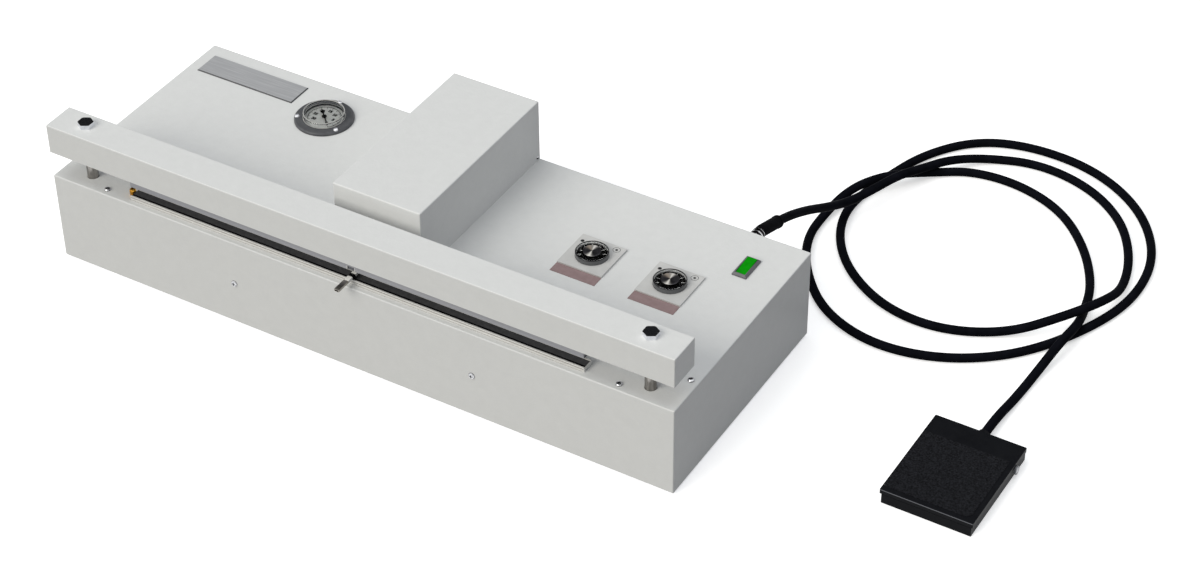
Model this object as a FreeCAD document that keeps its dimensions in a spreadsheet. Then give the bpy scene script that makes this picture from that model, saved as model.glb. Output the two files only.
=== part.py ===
import FreeCAD, Part
import math
import operator
import os
import Sketcher
from FreeCAD import Rotation, Vector

# A table-top nozzle vacuum sealer, in millimetres.
# X runs along the jaws to the right, Y from the operator to the back, Z up.
# The origin is on the table, under the middle of the case.

# Driving dimensions: name on the sheet, value
SIZES = [
    # Case
    ("case_width", 692.0),
    ("case_depth", 261.0),
    ("case_height", 97.0),
    ("case_bend", 1.2),
    ("sheet_wall", 1.5),
    ("foot_drop", 4.0),
    ("foot_radius", 11.0),
    ("foot_inset", 34.0),
    ("pan_lip", 14.0),
    ("tab_width", 26.0),
    # Clearances
    ("fit_gap", 0.3),
    ("running_gap", 0.05),
    # Raised housing over the nozzle
    ("housing_width", 97.0),
    ("bar_to_housing", 17.4),
    ("housing_height", 67.8),
    ("rivet_radius", 1.6),
    ("rivet_inset", 5.2),
    # Case screws
    ("screw_radius", 1.75),
    ("screw_head_radius", 3.2),
    ("gauge_screw_radius", 2.4),
    ("screw_head_height", 1.8),
    ("screw_length", 5.0),
    ("lid_screw_inset", 8.0),
    ("side_screw_inset", 8.2),
    ("side_screw_depth", 44.7),
    ("front_screw_spread", 268.0),
    ("front_screw_drop", 49.5),
    # Lower jaw
    ("jaw_length", 506.0),
    ("jaw_shift", -2.8),
    ("jaw_inset", 6.0),
    ("channel_depth", 13.3),
    ("channel_height", 5.0),
    ("channel_wall", 1.2),
    ("groove_depth", 0.3),
    ("insulator_height", 2.2),
    ("ribbon_width", 5.0),
    ("ribbon_height", 0.3),
    ("film_height", 0.3),
    ("gasket_width", 3.2),
    ("terminal_radius", 3.25),
    ("terminal_height", 6.4),
    ("stud_radius", 1.6),
    ("stud_drop", 14.0),
    # Pressing bar
    ("bar_depth", 35.8),
    ("bar_height", 31.6),
    ("bar_gap", 27.6),
    ("bar_wall", 3.0),
    ("bar_bend", 1.0),
    ("holder_length", 504.8),
    ("holder_depth", 11.0),
    ("holder_drop", 12.6),
    ("holder_inset", 7.2),
    ("notch_width", 9.0),
    ("notch_height", 4.0),
    ("pad_depth", 8.0),
    ("pad_proud", 1.0),
    ("pad_seat", 4.0),
    ("jaw_travel", 9.8),
    # Posts, guides and the drive below them
    ("post_radius", 5.6),
    ("post_side_inset", 34.4),
    ("post_front_inset", 18.7),
    ("bush_radius", 9.0),
    ("bush_flange_radius", 11.5),
    ("bush_flange_height", 1.6),
    ("bush_length", 18.0),
    ("bolt_flats", 13.6),
    ("bolt_head_height", 5.1),
    ("bolt_radius", 4.76),
    ("bolt_length", 20.0),
    ("crosshead_depth", 24.0),
    ("crosshead_height", 12.0),
    ("crosshead_drop", 27.0),
    ("crosshead_overhang", 20.0),
    ("plunger_radius", 8.0),
    ("solenoid_width", 90.0),
    ("solenoid_depth", 28.0),
    ("solenoid_frame", 8.0),
    ("stop_gap", 4.7),
    ("spring_radius", 9.5),
    ("spring_wire", 2.4),
    # Nozzle and its slide
    ("nozzle_width", 5.0),
    ("nozzle_height", 2.5),
    ("nozzle_wall", 0.4),
    ("nozzle_rise", 6.5),
    ("nozzle_reach", 17.0),
    ("nozzle_travel", 75.0),
    ("stop_clearance", 1.0),
    ("carriage_width", 64.0),
    ("carriage_length", 15.0),
    ("carriage_lift", 3.0),
    ("carriage_height", 22.0),
    ("tail_radius", 4.0),
    ("tail_bore", 2.4),
    ("tail_overlap", 10.0),
    ("receiver_radius", 6.0),
    ("guide_radius", 3.0),
    ("guide_spread", 48.0),
    ("guide_rise", 17.0),
    ("cylinder_rise", 37.0),
    ("cylinder_radius", 10.0),
    ("cylinder_bore", 8.0),
    ("cylinder_end", 4.0),
    ("piston_length", 8.0),
    ("piston_rod_radius", 3.0),
    ("bracket_sheet", 2.5),
    ("bracket_width", 76.0),
    ("bracket_height", 50.0),
    # Timers
    ("timer_side_inset", 90.7),
    ("timer_back_inset", 108.5),
    ("timer_pitch", 83.5),
    ("timer_plate", 48.0),
    ("timer_plate_height", 2.0),
    ("timer_body", 44.8),
    ("timer_body_depth", 60.0),
    ("label_width", 12.8),
    ("label_height", 0.5),
    ("knob_radius", 16.4),
    ("knob_height", 4.8),
    ("knob_wall", 1.5),
    ("dial_height", 0.8),
    ("spindle_radius", 2.5),
    # Name plate
    ("plate_side_inset", 71.4),
    ("plate_back_inset", 31.5),
    ("plate_length", 117.0),
    ("plate_width", 30.0),
    ("plate_height", 1.2),
    ("plate_bevel", 0.8),
    # Vacuum gauge
    ("gauge_side_inset", 174.0),
    ("gauge_back_inset", 51.6),
    ("gauge_flange_radius", 30.2),
    ("gauge_flange_height", 3.0),
    ("gauge_body_radius", 24.0),
    ("gauge_body_depth", 32.0),
    ("gauge_stem_radius", 5.0),
    ("gauge_stem_length", 12.0),
    ("gauge_screw_circle", 54.0),
    ("lens_radius", 21.0),
    ("lens_height", 5.6),
    ("lens_wall", 1.6),
    ("needle_length", 13.5),
    ("needle_tail", 11.0),
    ("needle_weight_radius", 2.2),
    ("needle_width", 1.3),
    ("needle_height", 0.6),
    # Power switch
    ("switch_side_inset", 41.4),
    ("switch_back_inset", 51.5),
    ("bezel_width", 15.0),
    ("bezel_length", 30.2),
    ("bezel_height", 3.2),
    ("bezel_rim", 2.3),
    ("bezel_bevel", 1.6),
    ("switch_body_depth", 24.0),
    ("rocker_gap", 0.4),
    ("rocker_lean", 0.9),
    ("axle_radius", 1.5),
    ("axle_reach", 1.0),
    # Power inlet
    ("inlet_side_inset", 96.0),
    ("inlet_z", 45.0),
    ("inlet_width", 50.0),
    ("inlet_height", 26.0),
    ("inlet_flange", 3.0),
    ("inlet_body_depth", 26.0),
    ("inlet_mouth_width", 24.0),
    ("inlet_mouth_height", 16.5),
    ("inlet_mouth_depth", 19.0),
    ("inlet_pin_length", 12.0),
    # Cord gland and cord
    ("gland_side_inset", 61.0),
    ("gland_drop", 8.0),
    ("gland_radius", 6.8),
    ("gland_length", 10.0),
    ("sleeve_radius", 6.2),
    ("sleeve_lip_radius", 6.6),
    ("sleeve_lip_length", 3.0),
    ("sleeve_neck", 5.0),
    ("sleeve_reach", 39.0),
    ("sleeve_fall", 11.5),
    ("cord_diameter", 9.0),
    ("cord_last_run", 26.0),
    # Pieces that stand on the pan
    ("valve_to_motor", 4.5),
    ("pump_back_inset", 100.5),
    ("pump_width", 50.0),
    ("pump_depth", 62.0),
    ("pump_height", 62.0),
    ("pump_round", 4.0),
    ("motor_radius", 26.0),
    ("motor_length", 78.0),
    ("motor_lift", 4.0),
    ("transformer_x", 90.0),
    ("transformer_back_inset", 45.5),
    ("core_depth", 32.0),
    ("core_leg", 28.0),
    ("core_frame", 14.0),
    ("core_window_width", 14.0),
    ("core_window_height", 42.0),
    ("winding_overhang", 12.0),
    ("valve_shift", 9.7),
    ("valve_back_inset", 110.5),
    ("valve_width", 15.0),
    ("valve_depth", 24.0),
    ("valve_height", 35.0),
    ("valve_space", 4.0),
    ("manifold_height", 12.0),
    ("board_side_inset", 101.0),
    ("board_back_inset", 42.5),
    ("board_width", 110.0),
    ("board_depth", 62.0),
    ("board_sheet", 1.6),
    ("board_rise", 7.0),
    ("board_leg_radius", 3.0),
    ("relay_width", 18.0),
    ("relay_height", 16.0),
    ("hose_radius", 4.0),
    ("hose_drop", 53.0),
    ("hose_last_run", 20.0),
    # Foot switch
    ("pedal_x", 553.6),
    ("pedal_front", -43.4),
    ("pedal_width", 88.0),
    ("pedal_length", 116.4),
    ("pedal_wall", 2.0),
    ("pedal_floor", 2.5),
    ("pedal_side_height", 10.0),
    ("treadle_width", 91.0),
    ("treadle_length", 116.5),
    ("treadle_top", 16.5),
    ("treadle_plate", 2.3),
    ("treadle_skirt", 4.5),
    ("treadle_skin", 1.0),
    ("grip_height", 0.5),
    ("grip_left_margin", 1.0),
    ("grip_right_margin", 5.5),
    ("grip_front_margin", 6.0),
    ("grip_round", 7.0),
    ("pin_radius", 2.0),
    ("pin_length", 94.6),
    ("pin_head_radius", 4.4),
    ("pin_y", 48.2),
    ("pin_z", 8.0),
    ("spring_inset", 27.0),
    ("snap_reach", 28.0),
    ("snap_length", 20.0),
    ("snap_width", 10.0),
    ("snap_height", 8.3),
    ("snap_plunger_radius", 1.2),
    ("cord_entry_x", 554.5),
    ("cord_entry_z", 8.0),
    ("cord_collar_radius", 5.8),
    ("cord_collar_length", 5.0),
]

doc = FreeCAD.newDocument("nozzle_vacuum_sealer")
sheet = doc.addObject("Spreadsheet::Sheet", "dims")


class Size:
    """A length that knows its number and its expression on the sheet."""

    def __init__(self, number, text):
        self.number = number
        self.text = text

    def __add__(self, other):
        return combine(self, "+", other)

    def __radd__(self, other):
        return combine(other, "+", self)

    def __sub__(self, other):
        return combine(self, "-", other)

    def __rsub__(self, other):
        return combine(other, "-", self)

    def __mul__(self, other):
        return combine(self, "*", other)

    def __rmul__(self, other):
        return combine(other, "*", self)

    def __truediv__(self, other):
        return combine(self, "/", other)

    def __neg__(self):
        return combine(-1, "*", self)


SIGNS = {"+": operator.add, "-": operator.sub, "*": operator.mul, "/": operator.truediv}


def as_size(value):
    if isinstance(value, Size):
        return value
    return Size(value, f"({value:.6f})")


def combine(left, sign, right):
    left = as_size(left)
    right = as_size(right)
    return Size(SIGNS[sign](left.number, right.number), f"({left.text} {sign} {right.text})")


D = {}
for row, (alias, value) in enumerate(SIZES, start=1):
    sheet.set(f"A{row}", alias)
    sheet.set(f"B{row}", str(value))
    sheet.setAlias(f"B{row}", alias)
    D[alias] = Size(value, f"dims.{alias}")
doc.recompute()

# Directions for a piece that is drawn standing on Z
UP = Rotation()
DOWN = Rotation(Vector(1, 0, 0), 180)
BACK = Rotation(Vector(1, 0, 0), -90)
FRONT = Rotation(Vector(1, 0, 0), 90)
RIGHT = Rotation(Vector(0, 1, 0), 90)
LEFT = Rotation(Vector(0, 1, 0), -90)

nodes = []


def bind(piece, prop, value):
    piece.setExpression(prop, as_size(value).text)


def place(piece, at, turn=UP):
    piece.Placement = FreeCAD.Placement(Vector(), turn)
    for axis, value in zip("xyz", at):
        bind(piece, f"Placement.Base.{axis}", value)
    return piece


def block(name, size, at):
    """A box of length, width and height, centred on at in X and Y, standing on at's Z."""
    piece = doc.addObject("Part::Box", name)
    for prop, value in zip(("Length", "Width", "Height"), size):
        bind(piece, prop, value)
    return place(piece, (at[0] - as_size(size[0]) / 2, at[1] - as_size(size[1]) / 2, at[2]))


def rod(name, radius, length, at, turn=UP):
    piece = doc.addObject("Part::Cylinder", name)
    bind(piece, "Radius", radius)
    bind(piece, "Height", length)
    return place(piece, at, turn)


def fuse(name, *pieces):
    piece = doc.addObject("Part::MultiFuse", name)
    piece.Shapes = list(pieces)
    return piece


def cut(name, base, *tools):
    piece = doc.addObject("Part::Cut", name)
    piece.Base = base
    piece.Tool = tools[0] if len(tools) == 1 else fuse(f"{name}_tools", *tools)
    return piece


def common(name, first, second):
    piece = doc.addObject("Part::MultiCommon", name)
    piece.Shapes = [first, second]
    return piece


def group(name, pieces):
    piece = doc.addObject("Part::Compound", name)
    piece.Links = list(pieces)
    return piece


def node(name, piece):
    """Gives a finished piece its name in the assembly."""
    piece.Label = name
    nodes.append(piece)
    return piece


def outline_sketch(body, name, plane_role, outline):
    """A closed outline of straight lines, every corner tied to the sheet."""
    sketch = body.newObject("Sketcher::SketchObject", name)
    plane = [item for item in body.Origin.OriginFeatures if item.Role == plane_role][0]
    sketch.AttachmentSupport = [(plane, "")]
    sketch.MapMode = "FlatFace"
    corners = [(as_size(x), as_size(y)) for x, y in outline]
    spots = [Vector(x.number, y.number, 0) for x, y in corners]
    count = len(corners)
    for i in range(count):
        sketch.addGeometry(Part.LineSegment(spots[i], spots[(i + 1) % count]))
    for i in range(count):
        sketch.addConstraint(Sketcher.Constraint("Coincident", i, 2, (i + 1) % count, 1))
    for i, corner in enumerate(corners):
        for kind, zero_axis, value in (("DistanceX", -2, corner[0]), ("DistanceY", -1, corner[1])):
            if value.number == 0:
                sketch.addConstraint(Sketcher.Constraint("PointOnObject", i, 1, zero_axis))
                continue
            index = sketch.addConstraint(Sketcher.Constraint(kind, -1, 1, i, 1, value.number))
            label = f"{kind}{i}"
            sketch.renameConstraint(index, label)
            sketch.setExpression(f"Constraints.{label}", value.text)
    return sketch


def padded(name, plane_role, outline, length):
    body = doc.addObject("PartDesign::Body", name)
    sketch = outline_sketch(body, f"{name}_outline", plane_role, outline)
    pad = body.newObject("PartDesign::Pad", f"{name}_pad")
    pad.Profile = sketch
    bind(pad, "Length", length)
    return body


def turned(name, outline):
    """A body turned about its own Z; the outline is in radius and height."""
    body = doc.addObject("PartDesign::Body", name)
    sketch = outline_sketch(body, f"{name}_outline", "XZ_Plane", outline)
    turning = body.newObject("PartDesign::Revolution", f"{name}_turning")
    turning.Profile = sketch
    turning.ReferenceAxis = (sketch, ["V_Axis"])
    turning.Angle = 360
    return body


def rectangle(width, depth):
    return [
        (-width / 2, -depth / 2),
        (width / 2, -depth / 2),
        (width / 2, depth / 2),
        (-width / 2, depth / 2),
    ]


def is_upright(edge):
    return abs(edge.tangentAt(edge.FirstParameter).z) > 0.99


def round_edges(body, radius, wanted):
    """Rounds the edges of the body's tip that wanted(edge) picks."""
    doc.recompute()
    tip = body.Tip
    names = [f"Edge{i}" for i, edge in enumerate(tip.Shape.Edges, start=1) if wanted(edge)]
    fillet = body.newObject("PartDesign::Fillet", f"{body.Name}_bends")
    fillet.Base = (tip, names)
    bind(fillet, "Radius", radius)
    return fillet


def bevel_edges(body, width, wanted):
    """Bevels the edges of the body's tip that wanted(edge) picks."""
    doc.recompute()
    tip = body.Tip
    names = [f"Edge{i}" for i, edge in enumerate(tip.Shape.Edges, start=1) if wanted(edge)]
    chamfer = body.newObject("PartDesign::Chamfer", f"{body.Name}_bevel")
    chamfer.Base = (tip, names)
    bind(chamfer, "Size", width)
    return chamfer


def is_top_edge(height):
    """Picks the edges that lie in the top face of a pad of this height."""
    top = as_size(height).number
    return lambda edge: min(vertex.Z for vertex in edge.Vertexes) > top - 0.01


def folded_lid(name, width, depth, height, wall, bend):
    """A sheet box with rounded outside edges, open underneath."""
    body = padded(name, "XY_Plane", rectangle(width, depth), height)
    on_top = is_top_edge(height)
    round_edges(body, bend, lambda edge: is_upright(edge) or on_top(edge))
    hollow = outline_sketch(
        body, f"{name}_hollow", "XY_Plane", rectangle(width - wall * 2, depth - wall * 2)
    )
    pocket = body.newObject("PartDesign::Pocket", f"{name}_pocket")
    pocket.Profile = hollow
    pocket.Reversed = True
    bind(pocket, "Length", height - wall)
    return body


def route_wire(points, share=0.45):
    """Straight runs joined by tangent arcs, each as large as its two runs allow."""
    edges = []
    radii = []
    start = points[0]
    for before, corner, after in zip(points, points[1:], points[2:]):
        to_corner = corner - before
        from_corner = after - corner
        reach = share * min(to_corner.Length, from_corner.Length)
        turn = to_corner.getAngle(from_corner)
        radii.append(reach / math.tan(turn / 2))
        inward = Vector(to_corner).normalize()
        outward = Vector(from_corner).normalize()
        arc_start = corner - inward * reach
        arc_end = corner + outward * reach
        across = (outward - inward).normalize()
        centre_distance = radii[-1] / math.cos(turn / 2)
        arc_middle = corner + across * (centre_distance - radii[-1])
        edges.append(Part.LineSegment(start, arc_start).toShape())
        edges.append(Part.Arc(arc_start, arc_middle, arc_end).toShape())
        start = arc_end
    edges.append(Part.LineSegment(start, points[-1]).toShape())
    return Part.Wire(edges), radii


def tube_along(name, points, radius):
    """A round tube whose middle follows the route; reports its radii and its volume."""
    wire, radii = route_wire(points)
    ring = Part.Wire([Part.makeCircle(radius, points[0], points[1] - points[0])])
    piece = doc.addObject("Part::Feature", name)
    piece.Shape = wire.makePipeShell([ring], True, True)
    expected = math.pi * radius ** 2 * wire.Length
    print(f"{name}: length {wire.Length:.0f}, volume {piece.Shape.Volume:.0f} of {expected:.0f}")
    print("  radii", " ".join(f"{value:.0f}" for value in radii))
    return piece


def ribbed_spring(name, radius, wire, height, turns, at):
    """A compression spring as a ribbed sleeve with one rib for each turn, standing on at."""
    step = height / (2 * turns)
    outside = []
    inside = []
    for i in range(2 * turns + 1):
        swing = wire / 2 if i % 2 else as_size(0)
        outside.append((radius + swing, step * i))
        inside.append((radius - wire / 2 + swing, step * i))
    return place(turned(name, outside + inside[::-1]), at)


def polar(radius, degrees):
    angle = math.radians(degrees)
    return radius * math.cos(angle), radius * math.sin(angle)


# Heights and edges that many pieces share
lid_z = D["foot_drop"] + D["case_height"]
pan_z = D["foot_drop"] + D["sheet_wall"]
front_y = -D["case_depth"] / 2
back_y = D["case_depth"] / 2
side_x = D["case_width"] / 2
inner_width = D["case_width"] - 2 * D["sheet_wall"]
inner_depth = D["case_depth"] - 2 * D["sheet_wall"]
post_x = side_x - D["post_side_inset"]
post_y = front_y + D["post_front_inset"]
jaw_left = D["jaw_shift"] - D["jaw_length"] / 2
jaw_right = D["jaw_shift"] + D["jaw_length"] / 2
channel_y = front_y + D["jaw_inset"] + D["channel_depth"] / 2
bed_z = lid_z + D["channel_wall"]
ribbon_z = bed_z + D["insulator_height"]
terminal_x = jaw_left - D["terminal_radius"] - D["fit_gap"]
stud_x = jaw_right - D["ribbon_width"]
ribbon_y = channel_y + D["gasket_width"] / 2
inlet_at = (D["inlet_side_inset"] - side_x, D["inlet_z"])
plate_at = (D["plate_side_inset"] - side_x, back_y - D["plate_back_inset"], lid_z)
gauge_x = D["gauge_side_inset"] - side_x
gauge_y = back_y - D["gauge_back_inset"]
cool_timer_x = side_x - D["timer_side_inset"]
heat_timer_x = cool_timer_x - D["timer_pitch"]
timer_y = back_y - D["timer_back_inset"]
switch_x = side_x - D["switch_side_inset"]
switch_y = back_y - D["switch_back_inset"]
gland_x = side_x - D["gland_side_inset"]
pump_y = back_y - D["pump_back_inset"]
transformer_y = back_y - D["transformer_back_inset"]
valve_x = gauge_x - D["valve_shift"]
manifold_length = 3 * D["valve_width"] + 4 * D["valve_space"]
motor_left = valve_x + manifold_length / 2 + D["valve_to_motor"]
pump_x = motor_left + D["motor_length"] + D["pump_width"] / 2
valve_y = back_y - D["valve_back_inset"]
board_x = side_x - D["board_side_inset"]
board_y = back_y - D["board_back_inset"]
gland_z = lid_z - D["gland_drop"]
hose_hole_y = back_y - 2 * D["receiver_radius"]
screw_hole = D["screw_radius"] + D["running_gap"]


# Screws: a pan head with a cross recess on a plain shank

def pan_screw(name, at, turn=UP, head_radius=D["screw_head_radius"]):
    blank = turned(
        f"{name}_blank",
        [
            (0, -D["screw_length"]),
            (D["screw_radius"], -D["screw_length"]),
            (D["screw_radius"], 0),
            (head_radius, 0),
            (head_radius, D["screw_head_height"] * 0.35),
            (head_radius * 0.82, D["screw_head_height"] * 0.8),
            (head_radius * 0.5, D["screw_head_height"]),
            (0, D["screw_head_height"]),
        ],
    )
    slot_length = head_radius * 1.2
    slot_width = D["screw_radius"] * 0.5
    slot_z = D["screw_head_height"] / 2
    slots = [
        block(f"{name}_slot_x", (slot_length, slot_width, D["screw_head_height"]), (0, 0, slot_z)),
        block(f"{name}_slot_y", (slot_width, slot_length, D["screw_head_height"]), (0, 0, slot_z)),
    ]
    return place(cut(name, blank, *slots), at, turn)


jaw_half = D["jaw_length"] / 2
lid_screw_x = jaw_half + (post_x - jaw_half) * 0.555
lid_screw_y = front_y + D["lid_screw_inset"]
side_screw_x = side_x - D["side_screw_inset"]
side_screw_y = front_y + D["side_screw_depth"]
front_screw_x = D["front_screw_spread"] / 2
front_screw_z = lid_z - D["front_screw_drop"]
lid_screw_spots = [
    (lid_screw_x, lid_screw_y),
    (-lid_screw_x, lid_screw_y),
    (side_screw_x, side_screw_y),
    (-side_screw_x, side_screw_y),
]
face_screw_spots = [
    (front_screw_x, front_y, FRONT),
    (-front_screw_x, front_y, FRONT),
    (front_screw_x, back_y, BACK),
    (-front_screw_x, back_y, BACK),
]

screws = []
for i, (x, y) in enumerate(lid_screw_spots):
    screws.append(pan_screw(f"lid_screw_{i}", (x, y, lid_z)))
for i, (x, y, turn) in enumerate(face_screw_spots):
    screws.append(pan_screw(f"face_screw_{i}", (x, y, front_screw_z), turn))

# Rivets that hold the housing's foot, low at its back corners
rivet_y = back_y - D["rivet_inset"]
rivet_z = lid_z + D["rivet_inset"] - D["rivet_radius"]
for side, turn in ((1, RIGHT), (-1, LEFT)):
    rivet = turned(
        f"rivet_{turn.Axis.y:+.0f}",
        [
            (0, -2 * D["sheet_wall"]),
            (D["rivet_radius"] / 2, -2 * D["sheet_wall"]),
            (D["rivet_radius"] / 2, 0),
            (D["rivet_radius"], 0),
            (D["rivet_radius"] * 0.6, D["rivet_radius"] * 0.6),
            (0, D["rivet_radius"] * 0.6),
        ],
    )
    screws.append(place(rivet, (side * D["housing_width"] / 2, rivet_y, rivet_z), turn))
node("cover_screws", group("cover_screw_set", screws))


# Case: a folded cover over a shallow pan, on four rubber feet

shell = folded_lid(
    "case_shell", D["case_width"], D["case_depth"], D["case_height"], D["sheet_wall"], D["case_bend"]
)
place(shell, (0, 0, D["foot_drop"]))
lid_hole_z = lid_z - 2 * D["sheet_wall"]
lid_hole_height = 3 * D["sheet_wall"]


def lid_hole(name, radius, x, y):
    return rod(name, radius, lid_hole_height, (x, y, lid_hole_z))


def lid_window(name, width, depth, x, y):
    return block(name, (width, depth, lid_hole_height), (x, y, lid_hole_z))


timer_window = D["timer_body"] + 2 * D["fit_gap"]
switch_body_width = D["bezel_width"] - D["bezel_rim"]
switch_body_length = D["bezel_length"] - D["bezel_rim"]
case_holes = [
    lid_window("heat_window", timer_window, timer_window, heat_timer_x, timer_y),
    lid_window("cool_window", timer_window, timer_window, cool_timer_x, timer_y),
    lid_window(
        "switch_window",
        switch_body_width + 2 * D["fit_gap"],
        switch_body_length + 2 * D["fit_gap"],
        switch_x,
        switch_y,
    ),
    lid_hole("gauge_hole", D["gauge_body_radius"] + D["fit_gap"], gauge_x, gauge_y),
    lid_hole("hose_hole", D["tail_radius"] + D["fit_gap"], 0, hose_hole_y),
    lid_hole("terminal_hole", D["stud_radius"] + D["fit_gap"], terminal_x, ribbon_y),
    lid_hole("stud_hole", D["stud_radius"] + D["fit_gap"], stud_x, ribbon_y),
]
for side in (-1, 1):
    case_holes.append(
        lid_hole(f"post_hole_{side}", D["post_radius"] + D["fit_gap"], side * post_x, post_y)
    )
for i, (x, y) in enumerate(lid_screw_spots):
    case_holes.append(lid_hole(f"lid_screw_hole_{i}", screw_hole, x, y))
face_hole_length = 4 * D["sheet_wall"] + 2 * D["fit_gap"]
face_holes = []
for i, (x, y, turn) in enumerate(face_screw_spots):
    start_y = y + face_hole_length / 2 if turn == FRONT else y - face_hole_length / 2
    face_holes.append(
        rod(f"face_hole_{i}", screw_hole, face_hole_length, (x, start_y, front_screw_z), turn)
    )
back_hole_y = back_y - 2 * D["sheet_wall"]
back_hole_length = 3 * D["sheet_wall"]
case_holes.append(
    rod(
        "gland_hole",
        D["cord_diameter"] / 2 + D["fit_gap"],
        back_hole_length,
        (gland_x, back_hole_y, gland_z),
        BACK,
    )
)
inlet_window_width = D["inlet_width"] - 4 * D["inlet_flange"]
inlet_window_height = D["inlet_height"] - D["inlet_flange"]
case_holes.append(
    block(
        "inlet_window",
        (inlet_window_width, back_hole_length, inlet_window_height),
        (inlet_at[0], back_y, D["inlet_z"] - inlet_window_height / 2),
    )
)
gauge_screw_spots = [polar(D["gauge_screw_circle"] / 2, degrees) for degrees in (90, 210, 330)]
for i, (x, y) in enumerate(gauge_screw_spots):
    case_holes.append(
        lid_hole(f"gauge_screw_hole_{i}", screw_hole, gauge_x + x, gauge_y + y)
    )
node("top_cover", cut("case_cover", shell, *case_holes, *face_holes))

pan_width = inner_width - 2 * D["fit_gap"]
pan_depth = inner_depth - 2 * D["fit_gap"]
pan_blank = block("pan_blank", (pan_width, pan_depth, D["pan_lip"]), (0, 0, D["foot_drop"]))
pan_hollow = block(
    "pan_hollow",
    (pan_width - 2 * D["sheet_wall"], pan_depth - 2 * D["sheet_wall"], D["pan_lip"]),
    (0, 0, pan_z),
)
tab_height = front_screw_z + D["tab_width"] / 2 - pan_z
pan_tabs = []
for x_side in (-1, 1):
    for y_side in (-1, 1):
        pan_tabs.append(
            block(
                f"pan_tab_{x_side}_{y_side}",
                (D["tab_width"], D["sheet_wall"], tab_height),
                (x_side * front_screw_x, y_side * (pan_depth / 2 - D["sheet_wall"] / 2), pan_z),
            )
        )
pan_folded = fuse("pan_folded", cut("pan_tray", pan_blank, pan_hollow), *pan_tabs)
pan_holes = []
for i, (x, y, turn) in enumerate(face_screw_spots):
    start_y = y + face_hole_length if turn == FRONT else y - face_hole_length
    pan_holes.append(
        rod(f"pan_hole_{i}", screw_hole, 2 * face_hole_length, (x, start_y, front_screw_z), turn)
    )
node("base_pan", cut("pan", pan_folded, *pan_holes))

feet = []
for x_side in (-1, 1):
    for y_side in (-1, 1):
        foot = turned(
            f"foot_{x_side}_{y_side}",
            [
                (0, 0),
                (D["foot_radius"] * 0.85, 0),
                (D["foot_radius"], D["foot_drop"]),
                (0, D["foot_drop"]),
            ],
        )
        foot_x = x_side * (side_x - D["foot_inset"])
        foot_y = y_side * (back_y - D["foot_inset"])
        feet.append(place(foot, (foot_x, foot_y, 0)))
node("rubber_feet", group("foot_set", feet))

name_plate = padded(
    "plate", "XY_Plane", rectangle(D["plate_length"], D["plate_width"]), D["plate_height"]
)
bevel_edges(name_plate, D["plate_bevel"], is_top_edge(D["plate_height"]))
node("name_plate", place(name_plate, plate_at))


# Raised housing, with a slot in its front for the nozzle

housing_front = front_y + D["bar_depth"] + D["bar_to_housing"]
housing_length = back_y - housing_front
housing_y = back_y - housing_length / 2
nozzle_z = lid_z + D["nozzle_rise"]
nozzle_middle_z = nozzle_z + D["nozzle_height"] / 2
hood = folded_lid(
    "hood",
    D["housing_width"],
    housing_length,
    D["housing_height"],
    D["sheet_wall"],
    D["case_bend"],
)
place(hood, (0, housing_y, lid_z))
slot_side = D["nozzle_width"] + 4 * D["fit_gap"]
hood_slot = block(
    "hood_slot",
    (slot_side, 4 * D["sheet_wall"], slot_side),
    (0, housing_front, nozzle_middle_z - slot_side / 2),
)
hood_holes = [hood_slot]
for side, turn in ((1, RIGHT), (-1, LEFT)):
    start_x = side * (D["housing_width"] / 2 - 2 * D["sheet_wall"])
    hood_holes.append(
        rod(
            f"rivet_hole_{side}",
            D["rivet_radius"] / 2 + D["running_gap"],
            3 * D["sheet_wall"],
            (start_x, rivet_y, rivet_z),
            turn,
        )
    )
node("nozzle_housing", cut("hood_cover", hood, *hood_holes))


# Lower jaw: channel, insulator, heating ribbon, cover film, gasket, terminals

channel_back = D["channel_depth"] - D["channel_wall"]
line_z = D["channel_height"] * 0.62
channel = padded(
    "channel",
    "YZ_Plane",
    [
        (0, 0),
        (D["channel_depth"], 0),
        (D["channel_depth"], D["channel_height"]),
        (channel_back, D["channel_height"]),
        (channel_back, D["channel_wall"]),
        (D["channel_wall"], D["channel_wall"]),
        (D["channel_wall"], D["channel_height"]),
        (0, D["channel_height"]),
        (0, line_z + D["groove_depth"]),
        (D["groove_depth"], line_z + D["groove_depth"]),
        (D["groove_depth"], line_z),
        (0, line_z),
    ],
    D["jaw_length"],
)
place(channel, (jaw_left, front_y + D["jaw_inset"], lid_z))
stud_hole = D["stud_radius"] + D["running_gap"]
channel_hole = rod(
    "channel_stud_hole", stud_hole, 2 * D["channel_height"], (stud_x, ribbon_y, lid_z - D["channel_height"])
)
node("jaw_channel", cut("channel_cut", channel, channel_hole))

bed_width = D["channel_depth"] - 2 * D["channel_wall"] - 2 * D["running_gap"]
insulator = block(
    "insulator", (D["jaw_length"], bed_width, D["insulator_height"]), (D["jaw_shift"], channel_y, bed_z)
)
insulator_hole = rod(
    "insulator_hole", stud_hole, D["channel_height"], (stud_x, ribbon_y, bed_z - D["channel_wall"])
)
node("element_insulator", cut("insulator_cut", insulator, insulator_hole))

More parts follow.
